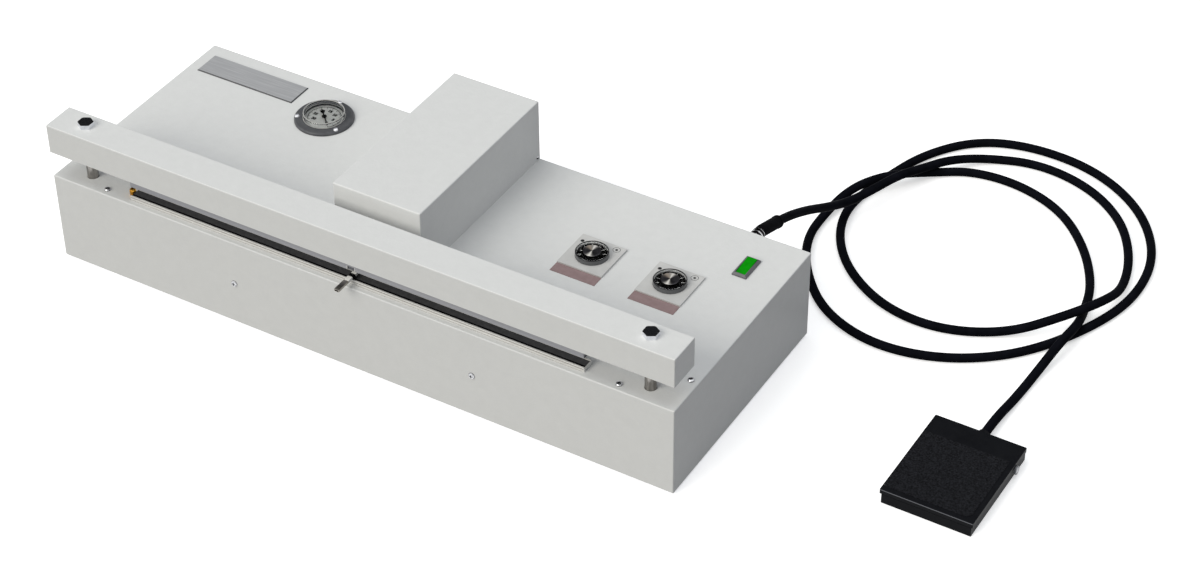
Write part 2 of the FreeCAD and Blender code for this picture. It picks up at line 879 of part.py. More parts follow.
node(
    "heating_element",
    block(
        "ribbon",
        (D["jaw_length"], D["ribbon_width"], D["ribbon_height"]),
        (D["jaw_shift"], ribbon_y, ribbon_z),
    ),
)
film_z = ribbon_z + D["ribbon_height"]
film_top = film_z + D["film_height"]
film_width = bed_width - D["gasket_width"] - D["running_gap"]
film_y = channel_y + (D["gasket_width"] + D["running_gap"]) / 2
node(
    "ptfe_cover",
    block("film", (D["jaw_length"], film_width, D["film_height"]), (D["jaw_shift"], film_y, film_z)),
)
node(
    "jaw_gasket",
    block(
        "gasket",
        (D["jaw_length"], D["gasket_width"], film_top - ribbon_z),
        (D["jaw_shift"], channel_y - (bed_width - D["gasket_width"]) / 2, ribbon_z),
    ),
)

post_terminal = turned(
    "post_terminal",
    [
        (0, -D["stud_drop"]),
        (D["stud_radius"], -D["stud_drop"]),
        (D["stud_radius"], 0),
        (D["terminal_radius"], 0),
        (D["terminal_radius"], D["terminal_height"] * 0.8),
        (D["terminal_radius"] * 0.8, D["terminal_height"]),
        (0, D["terminal_height"]),
    ],
)
place(post_terminal, (terminal_x, ribbon_y, lid_z))
stud_terminal = rod(
    "stud_terminal",
    D["stud_radius"],
    D["stud_drop"] + ribbon_z - lid_z,
    (stud_x, ribbon_y, lid_z - D["stud_drop"]),
)
node("element_terminals", group("terminal_pair", [post_terminal, stud_terminal]))


# Pressing bar with its pad, posts and bolts

bar_z = lid_z + D["bar_gap"]
bar_top = bar_z + D["bar_height"]
bar_inner_top = bar_top - D["bar_wall"]
bar_y = front_y + D["bar_depth"] / 2
bar = folded_lid(
    "bar", D["case_width"], D["bar_depth"], D["bar_height"], D["bar_wall"], D["bar_bend"]
)
place(bar, (0, bar_y, bar_z))
bar_holes = []
for side in (-1, 1):
    bar_holes.append(
        rod(
            f"bar_hole_{side}",
            D["bolt_radius"] + D["running_gap"],
            3 * D["bar_wall"],
            (side * post_x, post_y, bar_top - 2 * D["bar_wall"]),
        )
    )
node("press_bar", cut("bar_cut", bar, *bar_holes))

holder_z = bar_z - D["holder_drop"]
holder_y = front_y + D["holder_inset"] + D["holder_depth"] / 2
pad_bottom = holder_z - D["pad_proud"]
pad_height = D["pad_proud"] + D["pad_seat"]
holder_blank = block(
    "holder_blank",
    (D["holder_length"], D["holder_depth"], bar_inner_top - holder_z),
    (D["jaw_shift"], holder_y, holder_z),
)
pad_groove = block(
    "pad_groove",
    (2 * D["holder_length"], D["pad_depth"], pad_height),
    (D["jaw_shift"], holder_y, pad_bottom),
)
holder_notch = block(
    "holder_notch",
    (D["notch_width"], 2 * D["holder_depth"], 2 * D["notch_height"]),
    (0, holder_y, holder_z - D["notch_height"]),
)
node("pad_holder", cut("holder", holder_blank, pad_groove, holder_notch))
node(
    "silicone_pad",
    block(
        "pad", (D["holder_length"], D["pad_depth"], pad_height), (D["jaw_shift"], holder_y, pad_bottom)
    ),
)

crosshead_top = lid_z - D["crosshead_drop"]
crosshead_z = crosshead_top - D["crosshead_height"]
posts = []
bolts = []
for side in (-1, 1):
    spot = (side * post_x, post_y)
    post = rod(
        f"post_{side}", D["post_radius"], bar_inner_top - crosshead_top, (*spot, crosshead_top)
    )
    thread = rod(
        f"post_thread_{side}",
        D["bolt_radius"],
        D["bolt_length"],
        (*spot, bar_inner_top - D["bolt_length"]),
    )
    posts.append(cut(f"post_cut_{side}", post, thread))
    hexagon = doc.addObject("Part::Prism", f"bolt_hexagon_{side}")
    hexagon.Polygon = 6
    corner_radius = D["bolt_flats"] / math.sqrt(3)
    bind(hexagon, "Circumradius", corner_radius)
    bind(hexagon, "Height", D["bolt_head_height"])
    hexagon.Placement = FreeCAD.Placement(Vector(), Rotation(Vector(0, 0, 1), 30))
    chamfer = D["bolt_head_height"] * 0.05
    dome = turned(
        f"bolt_dome_{side}",
        [
            (0, 0),
            (corner_radius, 0),
            (corner_radius, D["bolt_head_height"] - chamfer),
            (corner_radius - 2 * chamfer, D["bolt_head_height"]),
            (0, D["bolt_head_height"]),
        ],
    )
    head = common(f"bolt_head_{side}", hexagon, dome)
    shank_length = D["bar_wall"] + D["bolt_length"] * 0.8
    shank = rod(f"bolt_shank_{side}", D["bolt_radius"], shank_length, (0, 0, -shank_length))
    bolts.append(place(fuse(f"bolt_{side}", head, shank), (*spot, bar_top)))
node("press_posts", group("post_pair", posts))
node("bar_bolts", group("bolt_pair", bolts))

bushes = []
for side in (-1, 1):
    bore = D["post_radius"] + D["running_gap"]
    bush = turned(
        f"bush_{side}",
        [
            (bore, -D["bush_length"]),
            (D["bush_radius"], -D["bush_length"]),
            (D["bush_radius"], -D["bush_flange_height"]),
            (D["bush_flange_radius"], -D["bush_flange_height"]),
            (D["bush_flange_radius"], 0),
            (bore, 0),
        ],
    )
    bushes.append(place(bush, (side * post_x, post_y, lid_z - D["sheet_wall"])))
node("guide_bushes", group("bush_pair", bushes))


# Drive under the lid: crosshead, plunger, solenoid, return springs

crosshead_length = 2 * (post_x + D["crosshead_overhang"])
node(
    "crosshead",
    block(
        "crosshead_beam",
        (crosshead_length, D["crosshead_depth"], D["crosshead_height"]),
        (0, post_y, crosshead_z),
    ),
)
solenoid_top = crosshead_z - D["jaw_travel"] - D["stop_gap"]
solenoid_height = solenoid_top - pan_z
plunger_length = crosshead_z - pan_z - D["jaw_travel"] - D["solenoid_frame"] - D["stop_gap"]
node(
    "plunger",
    rod("plunger_rod", D["plunger_radius"], plunger_length, (0, post_y, crosshead_z), DOWN),
)
coil_width = D["solenoid_width"] - 2 * D["solenoid_frame"]
coil_height = solenoid_height - 2 * D["solenoid_frame"]
coil_z = pan_z + D["solenoid_frame"]
plunger_bore = D["plunger_radius"] + 2 * D["fit_gap"]
yoke = cut(
    "yoke",
    block(
        "yoke_blank", (D["solenoid_width"], D["solenoid_depth"], solenoid_height), (0, post_y, pan_z)
    ),
    block("yoke_window", (coil_width, 2 * D["solenoid_depth"], coil_height), (0, post_y, coil_z)),
    rod("yoke_bore", plunger_bore, solenoid_height, (0, post_y, coil_z)),
)
winding = cut(
    "winding",
    block(
        "winding_blank",
        (coil_width, D["solenoid_depth"] - 2 * D["sheet_wall"], coil_height),
        (0, post_y, coil_z),
    ),
    rod("winding_bore", plunger_bore, solenoid_height, (0, post_y, coil_z)),
)
node("jaw_solenoid", group("solenoid_set", [yoke, winding]))

springs = []
for side in (-1, 1):
    springs.append(
        ribbed_spring(
            f"spring_{side}",
            D["spring_radius"],
            D["spring_wire"],
            crosshead_z - pan_z,
            7,
            (side * post_x, post_y, pan_z),
        )
    )
node("return_springs", group("spring_pair", springs))


# Nozzle: flat tube in front, round tail behind, on a carriage that slides on two guides

front_plate_y = housing_front + D["sheet_wall"] + 2 * D["fit_gap"]
carriage_front = front_plate_y + D["bracket_sheet"] + D["stop_clearance"]
carriage_back = carriage_front + D["carriage_length"]
carriage_y = (carriage_front + carriage_back) / 2
carriage_z = lid_z + D["carriage_lift"]
guide_z = lid_z + D["guide_rise"]
guide_x = D["guide_spread"] / 2
cylinder_z = lid_z + D["cylinder_rise"]
stop_plate_y = carriage_back + D["nozzle_travel"] + D["stop_clearance"]
stop_plate_back = stop_plate_y + D["bracket_sheet"]
end_plate_back = back_y - D["sheet_wall"] - 2 * D["fit_gap"]
end_plate_y = end_plate_back - D["bracket_sheet"]
tail_end = stop_plate_back + D["tail_overlap"]

flat_front = front_y - D["nozzle_reach"]
flat_length = carriage_front - flat_front
flat_outside = block(
    "flat_outside",
    (D["nozzle_width"], flat_length, D["nozzle_height"]),
    (0, flat_front + flat_length / 2, nozzle_z),
)
flat_inside = block(
    "flat_inside",
    (
        D["nozzle_width"] - 2 * D["nozzle_wall"],
        flat_length + 2 * D["nozzle_wall"],
        D["nozzle_height"] - 2 * D["nozzle_wall"],
    ),
    (0, flat_front + flat_length / 2, nozzle_z + D["nozzle_wall"]),
)
tail_length = tail_end - carriage_front
tail_outside = rod(
    "tail_outside", D["tail_radius"], tail_length, (0, carriage_front, nozzle_middle_z), BACK
)
tail_inside = rod(
    "tail_inside", D["tail_bore"], 2 * tail_length, (0, flat_front, nozzle_middle_z), BACK
)
nozzle_outside = fuse("nozzle_outside", flat_outside, tail_outside)
tail_drill = rod(
    "tail_drill", D["tail_bore"], tail_length * 2, (0, carriage_front, nozzle_middle_z), BACK
)
node("nozzle_tube", cut("nozzle", nozzle_outside, flat_inside, tail_drill))

carriage_block = block(
    "carriage_block",
    (D["carriage_width"], D["carriage_length"], D["carriage_height"]),
    (0, carriage_y, carriage_z),
)
lug_width = 2 * D["cylinder_bore"]
lug_height = cylinder_z + D["cylinder_bore"] - carriage_z
carriage_lug = block(
    "carriage_lug", (lug_width, D["carriage_length"], lug_height), (0, carriage_y, carriage_z)
)
carriage_bores = [
    rod(
        "carriage_tail_bore",
        D["tail_radius"],
        D["carriage_length"],
        (0, carriage_front, nozzle_middle_z),
        BACK,
    )
]
for side in (-1, 1):
    carriage_bores.append(
        rod(
            f"carriage_bore_{side}",
            D["guide_radius"] + D["running_gap"],
            D["carriage_length"],
            (side * guide_x, carriage_front, guide_z),
            BACK,
        )
    )
node(
    "nozzle_carriage",
    cut("carriage", fuse("carriage_blank", carriage_block, carriage_lug), *carriage_bores),
)

guides = []
for side in (-1, 1):
    guides.append(
        rod(
            f"guide_{side}",
            D["guide_radius"],
            end_plate_back - front_plate_y,
            (side * guide_x, front_plate_y, guide_z),
            BACK,
        )
    )
node("nozzle_guides", group("guide_pair", guides))

receiver_length = end_plate_y - stop_plate_back
receiver_outside = rod(
    "receiver_outside",
    D["receiver_radius"],
    receiver_length,
    (0, stop_plate_back, nozzle_middle_z),
    BACK,
)
receiver_pipe = rod(
    "receiver_pipe",
    D["tail_radius"],
    nozzle_middle_z - lid_z + D["stud_drop"],
    (0, hose_hole_y, lid_z - D["stud_drop"]),
)
receiver_bore = rod(
    "receiver_bore",
    D["tail_radius"] + D["running_gap"],
    receiver_length - D["cylinder_end"],
    (0, stop_plate_back, nozzle_middle_z),
    BACK,
)
receiver_drill = rod(
    "receiver_drill",
    D["tail_bore"],
    nozzle_middle_z - lid_z + D["stud_drop"],
    (0, hose_hole_y, lid_z - D["stud_drop"]),
)
node(
    "vacuum_receiver",
    cut(
        "receiver",
        fuse("receiver_blank", receiver_outside, receiver_pipe),
        receiver_bore,
        receiver_drill,
    ),
)

bracket_floor_length = end_plate_back - front_plate_y
bracket_parts = [
    block(
        "bracket_floor",
        (D["bracket_width"], bracket_floor_length, D["sheet_wall"]),
        (0, front_plate_y + bracket_floor_length / 2, lid_z),
    )
]
for name, y in (("front", front_plate_y), ("stop", stop_plate_y), ("end", end_plate_y)):
    bracket_parts.append(
        block(
            f"bracket_{name}",
            (D["bracket_width"], D["bracket_sheet"], D["bracket_height"]),
            (0, y + D["bracket_sheet"] / 2, lid_z),
        )
    )
bracket_holes = []
for side in (-1, 1):
    bracket_holes.append(
        rod(
            f"bracket_bore_{side}",
            D["guide_radius"] + D["running_gap"],
            2 * bracket_floor_length,
            (side * guide_x, front_plate_y - bracket_floor_length / 2, guide_z),
            BACK,
        )
    )
bracket_holes.append(
    rod(
        "bracket_tail_hole",
        D["receiver_radius"],
        stop_plate_back - front_plate_y,
        (0, front_plate_y, nozzle_middle_z),
        BACK,
    )
)
bracket_holes.append(
    rod(
        "bracket_piston_hole",
        D["cylinder_bore"],
        stop_plate_back - front_plate_y,
        (0, front_plate_y, cylinder_z),
        BACK,
    )
)
bracket_holes.append(
    rod(
        "bracket_hose_hole",
        D["tail_radius"] + D["fit_gap"],
        3 * D["bracket_sheet"],
        (0, hose_hole_y, lid_z - D["bracket_sheet"]),
    )
)
node("nozzle_bracket", cut("bracket", fuse("bracket_blank", *bracket_parts), *bracket_holes))

cylinder_length = end_plate_y - stop_plate_back
cylinder_outside = rod(
    "cylinder_outside",
    D["cylinder_radius"],
    cylinder_length,
    (0, stop_plate_back, cylinder_z),
    BACK,
)
cylinder_inside = rod(
    "cylinder_inside",
    D["cylinder_bore"],
    cylinder_length - 2 * D["cylinder_end"],
    (0, stop_plate_back + D["cylinder_end"], cylinder_z),
    BACK,
)
cylinder_mouth = rod(
    "cylinder_mouth",
    D["piston_rod_radius"] + D["running_gap"],
    2 * D["cylinder_end"],
    (0, stop_plate_back, cylinder_z),
    BACK,
)
node("nozzle_cylinder", cut("cylinder", cylinder_outside, cylinder_inside, cylinder_mouth))
piston_y = stop_plate_back + D["cylinder_end"] + D["stop_clearance"]
piston_rod = rod(
    "piston_rod", D["piston_rod_radius"], piston_y - carriage_back, (0, carriage_back, cylinder_z), BACK
)
piston_head = rod(
    "piston_head",
    D["cylinder_bore"] - D["running_gap"],
    D["piston_length"],
    (0, piston_y, cylinder_z),
    BACK,
)
node("nozzle_piston", fuse("piston", piston_rod, piston_head))


# Timers: square plate on a case under the lid, printed dial, clear knob, label strip

dial_radius = D["knob_radius"] - D["knob_wall"] - D["running_gap"] * 4
knob_z = D["timer_plate_height"] + D["running_gap"] * 4
labels = []
for title, timer_x in (("heat", heat_timer_x), ("cool", cool_timer_x)):
    plate = block(
        f"{title}_plate",
        (D["timer_plate"], D["timer_plate"], D["timer_plate_height"]),
        (0, 0, 0),
    )
    rear = block(
        f"{title}_rear",
        (D["timer_body"], D["timer_body"], D["timer_body_depth"]),
        (0, 0, -D["timer_body_depth"]),
    )
    socket_depth = 3 * D["timer_plate_height"]
    socket = rod(
        f"{title}_socket",
        D["spindle_radius"] + D["running_gap"],
        socket_depth,
        (0, 0, D["timer_plate_height"] - socket_depth),
    )
    timer_at = (timer_x, timer_y, lid_z)
    timer_case = cut(f"{title}_case", fuse(f"{title}_blank", plate, rear), socket)
    node(f"{title}_timer_case", place(timer_case, timer_at))
    dial = turned(
        f"{title}_dial",
        [
            (D["spindle_radius"] + D["fit_gap"], 0),
            (dial_radius, 0),
            (dial_radius, D["dial_height"]),
            (D["spindle_radius"] + D["fit_gap"], D["dial_height"]),
        ],
    )
    dial_z = lid_z + D["timer_plate_height"]
    node(f"{title}_timer_dial", place(dial, (timer_x, timer_y, dial_z)))
    spindle_drop = socket_depth - D["timer_plate_height"]
    knob_roof = D["knob_height"] - D["knob_wall"]
    knob = turned(
        f"{title}_knob",
        [
            (0, -spindle_drop),
            (D["spindle_radius"], -spindle_drop),
            (D["spindle_radius"], knob_roof),
            (D["knob_radius"] - D["knob_wall"], knob_roof),
            (D["knob_radius"] - D["knob_wall"], 0),
            (D["knob_radius"], 0),
            (D["knob_radius"] - D["knob_wall"] / 3, D["knob_height"] * 0.9),
            (D["knob_radius"] - D["knob_wall"], D["knob_height"]),
            (0, D["knob_height"]),
        ],
    )
    node(f"{title}_timer_knob", place(knob, (timer_x, timer_y, lid_z + knob_z)))
    label_y = timer_y - D["timer_plate"] / 2 - D["label_width"] / 2 - D["running_gap"]
    labels.append(
        block(
            f"{title}_label",
            (D["timer_plate"], D["label_width"], D["label_height"]),
            (timer_x, label_y, lid_z),
        )
    )
node("timer_labels", group("label_pair", labels))


# Vacuum gauge: flanged case, dial, needle, domed lens, three screws

gauge_stem_z = lid_z - D["gauge_body_depth"] - D["gauge_stem_length"]
well_radius = D["lens_radius"] - D["lens_wall"]
well_z = D["dial_height"]
gauge_case = turned(
    "gauge_body",
    [
        (0, -D["gauge_body_depth"] - D["gauge_stem_length"]),
        (D["gauge_stem_radius"], -D["gauge_body_depth"] - D["gauge_stem_length"]),
        (D["gauge_stem_radius"], -D["gauge_body_depth"]),
        (D["gauge_body_radius"], -D["gauge_body_depth"]),
        (D["gauge_body_radius"], 0),
        (D["gauge_flange_radius"], 0),
        (D["gauge_flange_radius"], D["gauge_flange_height"] * 0.6),
        (D["gauge_flange_radius"] - D["gauge_flange_height"] * 0.4, D["gauge_flange_height"]),
        (well_radius, D["gauge_flange_height"]),
        (well_radius, well_z),
        (D["needle_width"] + D["running_gap"], well_z),
        (D["needle_width"] + D["running_gap"], -D["gauge_flange_height"]),
        (0, -D["gauge_flange_height"]),
    ],
)
gauge_at = (gauge_x, gauge_y, lid_z)
gauge_drills = []
gauge_screws = []
for i, (x, y) in enumerate(gauge_screw_spots):
    gauge_drills.append(
        rod(
            f"gauge_drill_{i}",
            screw_hole,
            4 * D["gauge_flange_height"],
            (x, y, -D["gauge_flange_height"]),
        )
    )
    screw_at = (gauge_x + x, gauge_y + y, lid_z + D["gauge_flange_height"])
    gauge_screws.append(
        pan_screw(f"gauge_screw_{i}", screw_at, head_radius=D["gauge_screw_radius"])
    )
node("gauge_case", place(cut("gauge_drilled", gauge_case, *gauge_drills), gauge_at))
node("gauge_screws", group("gauge_screw_set", gauge_screws))

gauge_dial = turned(
    "gauge_face",
    [
        (D["needle_width"] + D["fit_gap"], 0),
        (well_radius - D["running_gap"], 0),
        (well_radius - D["running_gap"], D["dial_height"]),
        (D["needle_width"] + D["fit_gap"], D["dial_height"]),
    ],
)
node("gauge_dial", place(gauge_dial, (gauge_x, gauge_y, lid_z + well_z)))

needle_z = well_z + D["dial_height"] + D["fit_gap"]
needle_bar = block(
    "needle_bar",
    (D["needle_width"], D["needle_length"] + D["needle_tail"], D["needle_height"]),
    (0, (D["needle_length"] - D["needle_tail"]) / 2, 0),
)
needle_weight = rod(
    "needle_weight",
    D["needle_weight_radius"],
    D["needle_height"],
    (0, D["needle_weight_radius"] - D["needle_tail"], 0),
)
needle_hub = turned(
    "needle_hub",
    [
        (0, -needle_z - D["gauge_flange_height"] * 0.8),
        (D["needle_width"], -needle_z - D["gauge_flange_height"] * 0.8),
        (D["needle_width"], 0),
        (D["needle_width"] * 1.9, 0),
        (D["needle_width"] * 1.9, D["needle_height"] * 1.6),
        (0, D["needle_height"] * 1.6),
    ],
)
needle = fuse("needle", needle_bar, needle_weight, needle_hub)
needle_rest = Rotation(Vector(0, 0, 1), -134)
node("gauge_needle", place(needle, (gauge_x, gauge_y, lid_z + needle_z), needle_rest))

lens_roof = D["lens_height"] - D["lens_wall"]
lens = turned(
    "lens",
    [
        (D["lens_radius"] - D["lens_wall"], 0),
        (D["lens_radius"], 0),
        (D["lens_radius"], D["lens_height"] * 0.86),
        (D["lens_radius"] * 0.98, D["lens_height"] * 0.96),
        (D["lens_radius"] * 0.92, D["lens_height"]),
        (0, D["lens_height"]),
        (0, lens_roof),
        (D["lens_radius"] - D["lens_wall"], lens_roof),
    ],
)
node(
    "gauge_lens",
    place(lens, (gauge_x, gauge_y, lid_z + D["gauge_flange_height"])),
)


# Power switch: bezel with its body, and a rocker on an axle along X

switch_at = (switch_x, switch_y, lid_z)
bezel_blank = padded(
    "bezel", "XY_Plane", rectangle(D["bezel_width"], D["bezel_length"]), D["bezel_height"]
)
bevel_edges(bezel_blank, D["bezel_bevel"], is_top_edge(D["bezel_height"]))
switch_body = block(
    "switch_body",
    (switch_body_width, switch_body_length, D["switch_body_depth"]),
    (0, 0, -D["switch_body_depth"]),
)
mouth_width = D["bezel_width"] - 2 * D["bezel_rim"]
mouth_length = D["bezel_length"] - 2 * D["bezel_rim"]
mouth_depth = D["switch_body_depth"] / 2
switch_mouth = block(
    "switch_mouth",
    (mouth_width, mouth_length, mouth_depth * 2),
    (0, 0, D["bezel_height"] - mouth_depth),
)
pivot_drop = 3 * D["rocker_lean"]
pivot_z = D["bezel_height"] - pivot_drop
axle_length = mouth_width + 2 * D["axle_reach"]
socket_length = axle_length + 2 * D["running_gap"]
axle_socket = rod(
    "axle_socket",
    D["axle_radius"] + D["running_gap"],
    socket_length,
    (-socket_length / 2, 0, pivot_z),
    RIGHT,
)
switch_blank = fuse("switch_blank", bezel_blank, switch_body)
switch_housing = cut("switch_cut", switch_blank, switch_mouth, axle_socket)
node("switch_bezel", place(switch_housing, switch_at))

rocker_half = mouth_length / 2 - D["rocker_gap"]
rocker_width = mouth_width - 2 * D["rocker_gap"]
rocker = padded(
    "rocker",
    "YZ_Plane",
    [
        (-rocker_half * 0.8, -pivot_drop),
        (rocker_half * 0.8, -pivot_drop),
        (rocker_half * 0.97, D["rocker_lean"]),
        (rocker_half * 0.97, pivot_drop + D["rocker_lean"]),
        (-rocker_half * 0.97, pivot_drop - D["rocker_lean"]),
        (-rocker_half * 0.97, -D["rocker_lean"]),
    ],
    rocker_width,
)
rocker_z = lid_z + pivot_z
place(rocker, (switch_x - rocker_width / 2, switch_y, rocker_z))
axle_x = switch_x - axle_length / 2
axle = rod("axle", D["axle_radius"], axle_length, (axle_x, switch_y, rocker_z), RIGHT)
node("power_rocker", fuse("rocker_with_axle", rocker, axle))


# Power inlet on the back wall: flange outside, body inside, three flat pins in its mouth

inlet_x, inlet_z = inlet_at
inlet_flange = block(
    "inlet_flange_plate",
    (D["inlet_width"], D["inlet_flange"], D["inlet_height"]),
    (inlet_x, back_y + D["inlet_flange"] / 2, inlet_z - D["inlet_height"] / 2),
)
inlet_body_width = inlet_window_width - 2 * D["fit_gap"]
inlet_body_height = inlet_window_height - 2 * D["fit_gap"]
inlet_body = block(
    "inlet_body",
    (inlet_body_width, D["inlet_body_depth"], inlet_body_height),
    (inlet_x, back_y - D["inlet_body_depth"] / 2, inlet_z - inlet_body_height / 2),
)
inlet_face = back_y + D["inlet_flange"]
inlet_mouth = block(
    "inlet_mouth",
    (D["inlet_mouth_width"], 2 * D["inlet_mouth_depth"], D["inlet_mouth_height"]),
    (inlet_x, inlet_face, inlet_z - D["inlet_mouth_height"] / 2),
)
inlet_hollow = cut("inlet_hollow", fuse("inlet_blank", inlet_flange, inlet_body), inlet_mouth)
inlet_floor = inlet_face - D["inlet_mouth_depth"]
pin_size = (D["inlet_flange"] / 2, D["inlet_pin_length"], D["inlet_flange"] * 1.3)
inlet_pins = []
for i, (x_share, z_share) in enumerate(((-0.3, -0.15), (0, 0.12), (0.3, -0.15))):
    inlet_pins.append(
        block(
            f"inlet_pin_{i}",
            pin_size,
            (
                inlet_x + D["inlet_mouth_width"] * x_share,
                inlet_floor + D["inlet_pin_length"] / 2,
                inlet_z + D["inlet_mouth_height"] * z_share - pin_size[2] / 2,
            ),
        )
    )
node("power_inlet", fuse("inlet", inlet_hollow, *inlet_pins))


# Pump, motor, transformer, valves and board on the pan, and the hoses between them

pump_at = (pump_x, pump_y, pan_z)
motor_axis_z = pan_z + D["motor_radius"] + D["motor_lift"]
pump_head = padded(
    "pump_head", "XY_Plane", rectangle(D["pump_width"], D["pump_depth"]), D["pump_height"]
)
round_edges(pump_head, D["pump_round"], is_upright)
node("vacuum_pump", place(pump_head, pump_at))
motor_can = rod(
    "motor_can", D["motor_radius"], D["motor_length"], (motor_left, pump_y, motor_axis_z), RIGHT
)
motor_foot = block(
    "motor_foot",
    (D["motor_length"] * 0.8, D["motor_radius"] * 1.6, 2 * D["motor_lift"]),
    (motor_left + D["motor_length"] / 2, pump_y, pan_z),
)
node("pump_motor", fuse("motor", motor_can, motor_foot))

core_at = (D["transformer_x"], transformer_y)
core_width = D["core_leg"] + 2 * D["core_window_width"] + 2 * D["core_frame"]
core_height = D["core_window_height"] + 2 * D["core_frame"]
window_z = pan_z + D["core_frame"]
core_windows = []
for side in (-1, 1):
    window_x = D["transformer_x"] + side * (D["core_leg"] + D["core_window_width"]) / 2
    core_windows.append(
        block(
            f"core_window_{side}",
            (D["core_window_width"], 2 * D["core_depth"], D["core_window_height"]),
            (window_x, transformer_y, window_z),
        )
    )
core_blank = block("core_blank", (core_width, D["core_depth"], core_height), (*core_at, pan_z))
core = cut("core", core_blank, *core_windows)
winding_width = D["core_leg"] + 2 * D["core_window_width"] - 2 * D["fit_gap"]
winding_depth = D["core_depth"] + 2 * D["winding_overhang"]
coil = cut(
    "core_winding",
    block(
        "core_winding_blank",
        (winding_width, winding_depth, D["core_window_height"] - 2 * D["fit_gap"]),
        (*core_at, window_z + D["fit_gap"]),
    ),
    block(
        "core_winding_hole",
        (
            D["core_leg"] + 2 * D["fit_gap"],
            D["core_depth"] + 2 * D["fit_gap"],
            D["core_window_height"],
        ),
        (*core_at, window_z),
    ),
)
node("transformer", group("transformer_set", [core, coil]))

valve_pitch = D["valve_width"] + D["valve_space"]
manifold_depth = D["valve_depth"] + 2 * D["sheet_wall"]
valve_bodies = [
    block(
        "valve_manifold",
        (manifold_length, manifold_depth, D["manifold_height"]),
        (valve_x, valve_y, pan_z),
    )
]
for i in (-1, 0, 1):
    valve_bodies.append(
        block(
            f"valve_{i}",
            (D["valve_width"], D["valve_depth"], D["valve_height"]),
            (valve_x + i * valve_pitch, valve_y, pan_z),
        )
    )
node("valve_block", fuse("valves", *valve_bodies))

board_z = pan_z + D["board_rise"]
board_top = board_z + D["board_sheet"]
board_parts = [
    block(
        "board_plate",
        (D["board_width"], D["board_depth"], D["board_sheet"]),
        (board_x, board_y, board_z),
    )
]
leg_x = D["board_width"] / 2 - 2 * D["board_leg_radius"]
leg_y = D["board_depth"] / 2 - 2 * D["board_leg_radius"]
for x_side in (-1, 1):
    for y_side in (-1, 1):
        board_parts.append(
            rod(
                f"board_leg_{x_side}_{y_side}",
                D["board_leg_radius"],
                D["board_rise"] + D["board_sheet"] / 2,
                (board_x + x_side * leg_x, board_y + y_side * leg_y, pan_z),
            )
        )
for i in (-1, 0, 1):
    board_parts.append(
        block(
            f"relay_{i}",
            (D["relay_width"], D["relay_height"], D["relay_height"]),
            (board_x + i * 1.5 * D["relay_width"], board_y, board_top),
        )
    )
node("circuit_board", fuse("board", *board_parts))

# One hose runs from the receiver down to the pump, one from the gauge to the valves
hose_low = (lid_z - D["hose_drop"]).number
hose_y = hose_hole_y.number
port_x = pump_x.number
port_y = (pump_y + D["pump_depth"] / 2).number
nozzle_hose = tube_along(
    "nozzle_hose",
    [
        Vector(0, hose_y, (lid_z - D["stud_drop"]).number),
        Vector(0, hose_y, hose_low),
        Vector(port_x, port_y + D["hose_last_run"].number, hose_low),
        Vector(port_x, port_y, hose_low),
    ],
    D["hose_radius"].number,
)
stem_x = gauge_x.number
stem_y = gauge_y.number
valve_port_y = (valve_y + manifold_depth / 2).number
valve_port_z = (pan_z + D["manifold_height"] / 2).number
gauge_hose = tube_along(
    "gauge_hose",
    [
        Vector(stem_x, stem_y, gauge_stem_z.number),
        Vector(stem_x, stem_y, valve_port_z),
        Vector(stem_x, valve_port_y, valve_port_z),
    ],
    D["hose_radius"].number,
)
node("vacuum_hoses", group("hose_pair", [nozzle_hose, gauge_hose]))


# Cord gland on the back wall, its drooping sleeve, and the foot cord

ring_step = D["gland_length"] / 5
gland_neck = D["cord_diameter"] / 2
gland_outline = [(0, -D["gland_length"] * 0.6), (gland_neck, -D["gland_length"] * 0.6)]
gland_outline.append((gland_neck, 0))
for i in range(3):
    ring_start = ring_step * i * 1.2
    gland_outline.append((D["gland_radius"], ring_start + 0.001))
    gland_outline.append((D["gland_radius"], ring_start + ring_step * 0.8))
    gland_outline.append((D["gland_radius"] * 0.86, ring_start + ring_step * 0.8))
    gland_outline.append((D["gland_radius"] * 0.86, ring_start + ring_step * 1.2))
gland_outline.append((D["gland_radius"], ring_step * 3.6))
gland_outline.append((D["gland_radius"], D["gland_length"]))
gland_outline.append((0, D["gland_length"]))
gland = turned("gland", gland_outline)
node("cord_gland", place(gland, (gland_x, back_y, gland_z), BACK))

gland_face = Vector(gland_x.number, (back_y + D["gland_length"]).number, gland_z.number)
sleeve_bend = gland_face + Vector(0, D["sleeve_neck"].number, 0)
sleeve_end = gland_face + Vector(0, D["sleeve_reach"].number, -D["sleeve_fall"].number)
sleeve_tube = tube_along("sleeve", [gland_face, sleeve_bend, sleeve_end], D["sleeve_radius"].number)
sleeve_line = (sleeve_end - sleeve_bend).normalize()
lip_start = sleeve_end - sleeve_line * D["sleeve_lip_length"].number
sleeve_lip = doc.addObject("Part::Cylinder", "sleeve_lip")
bind(sleeve_lip, "Radius", D["sleeve_lip_radius"])
bind(sleeve_lip, "Height", D["sleeve_lip_length"])
sleeve_lip.Placement = FreeCAD.Placement(lip_start, Rotation(Vector(0, 0, 1), sleeve_line))
node("cord_sleeve", fuse("sleeve_with_lip", sleeve_tube, sleeve_lip))

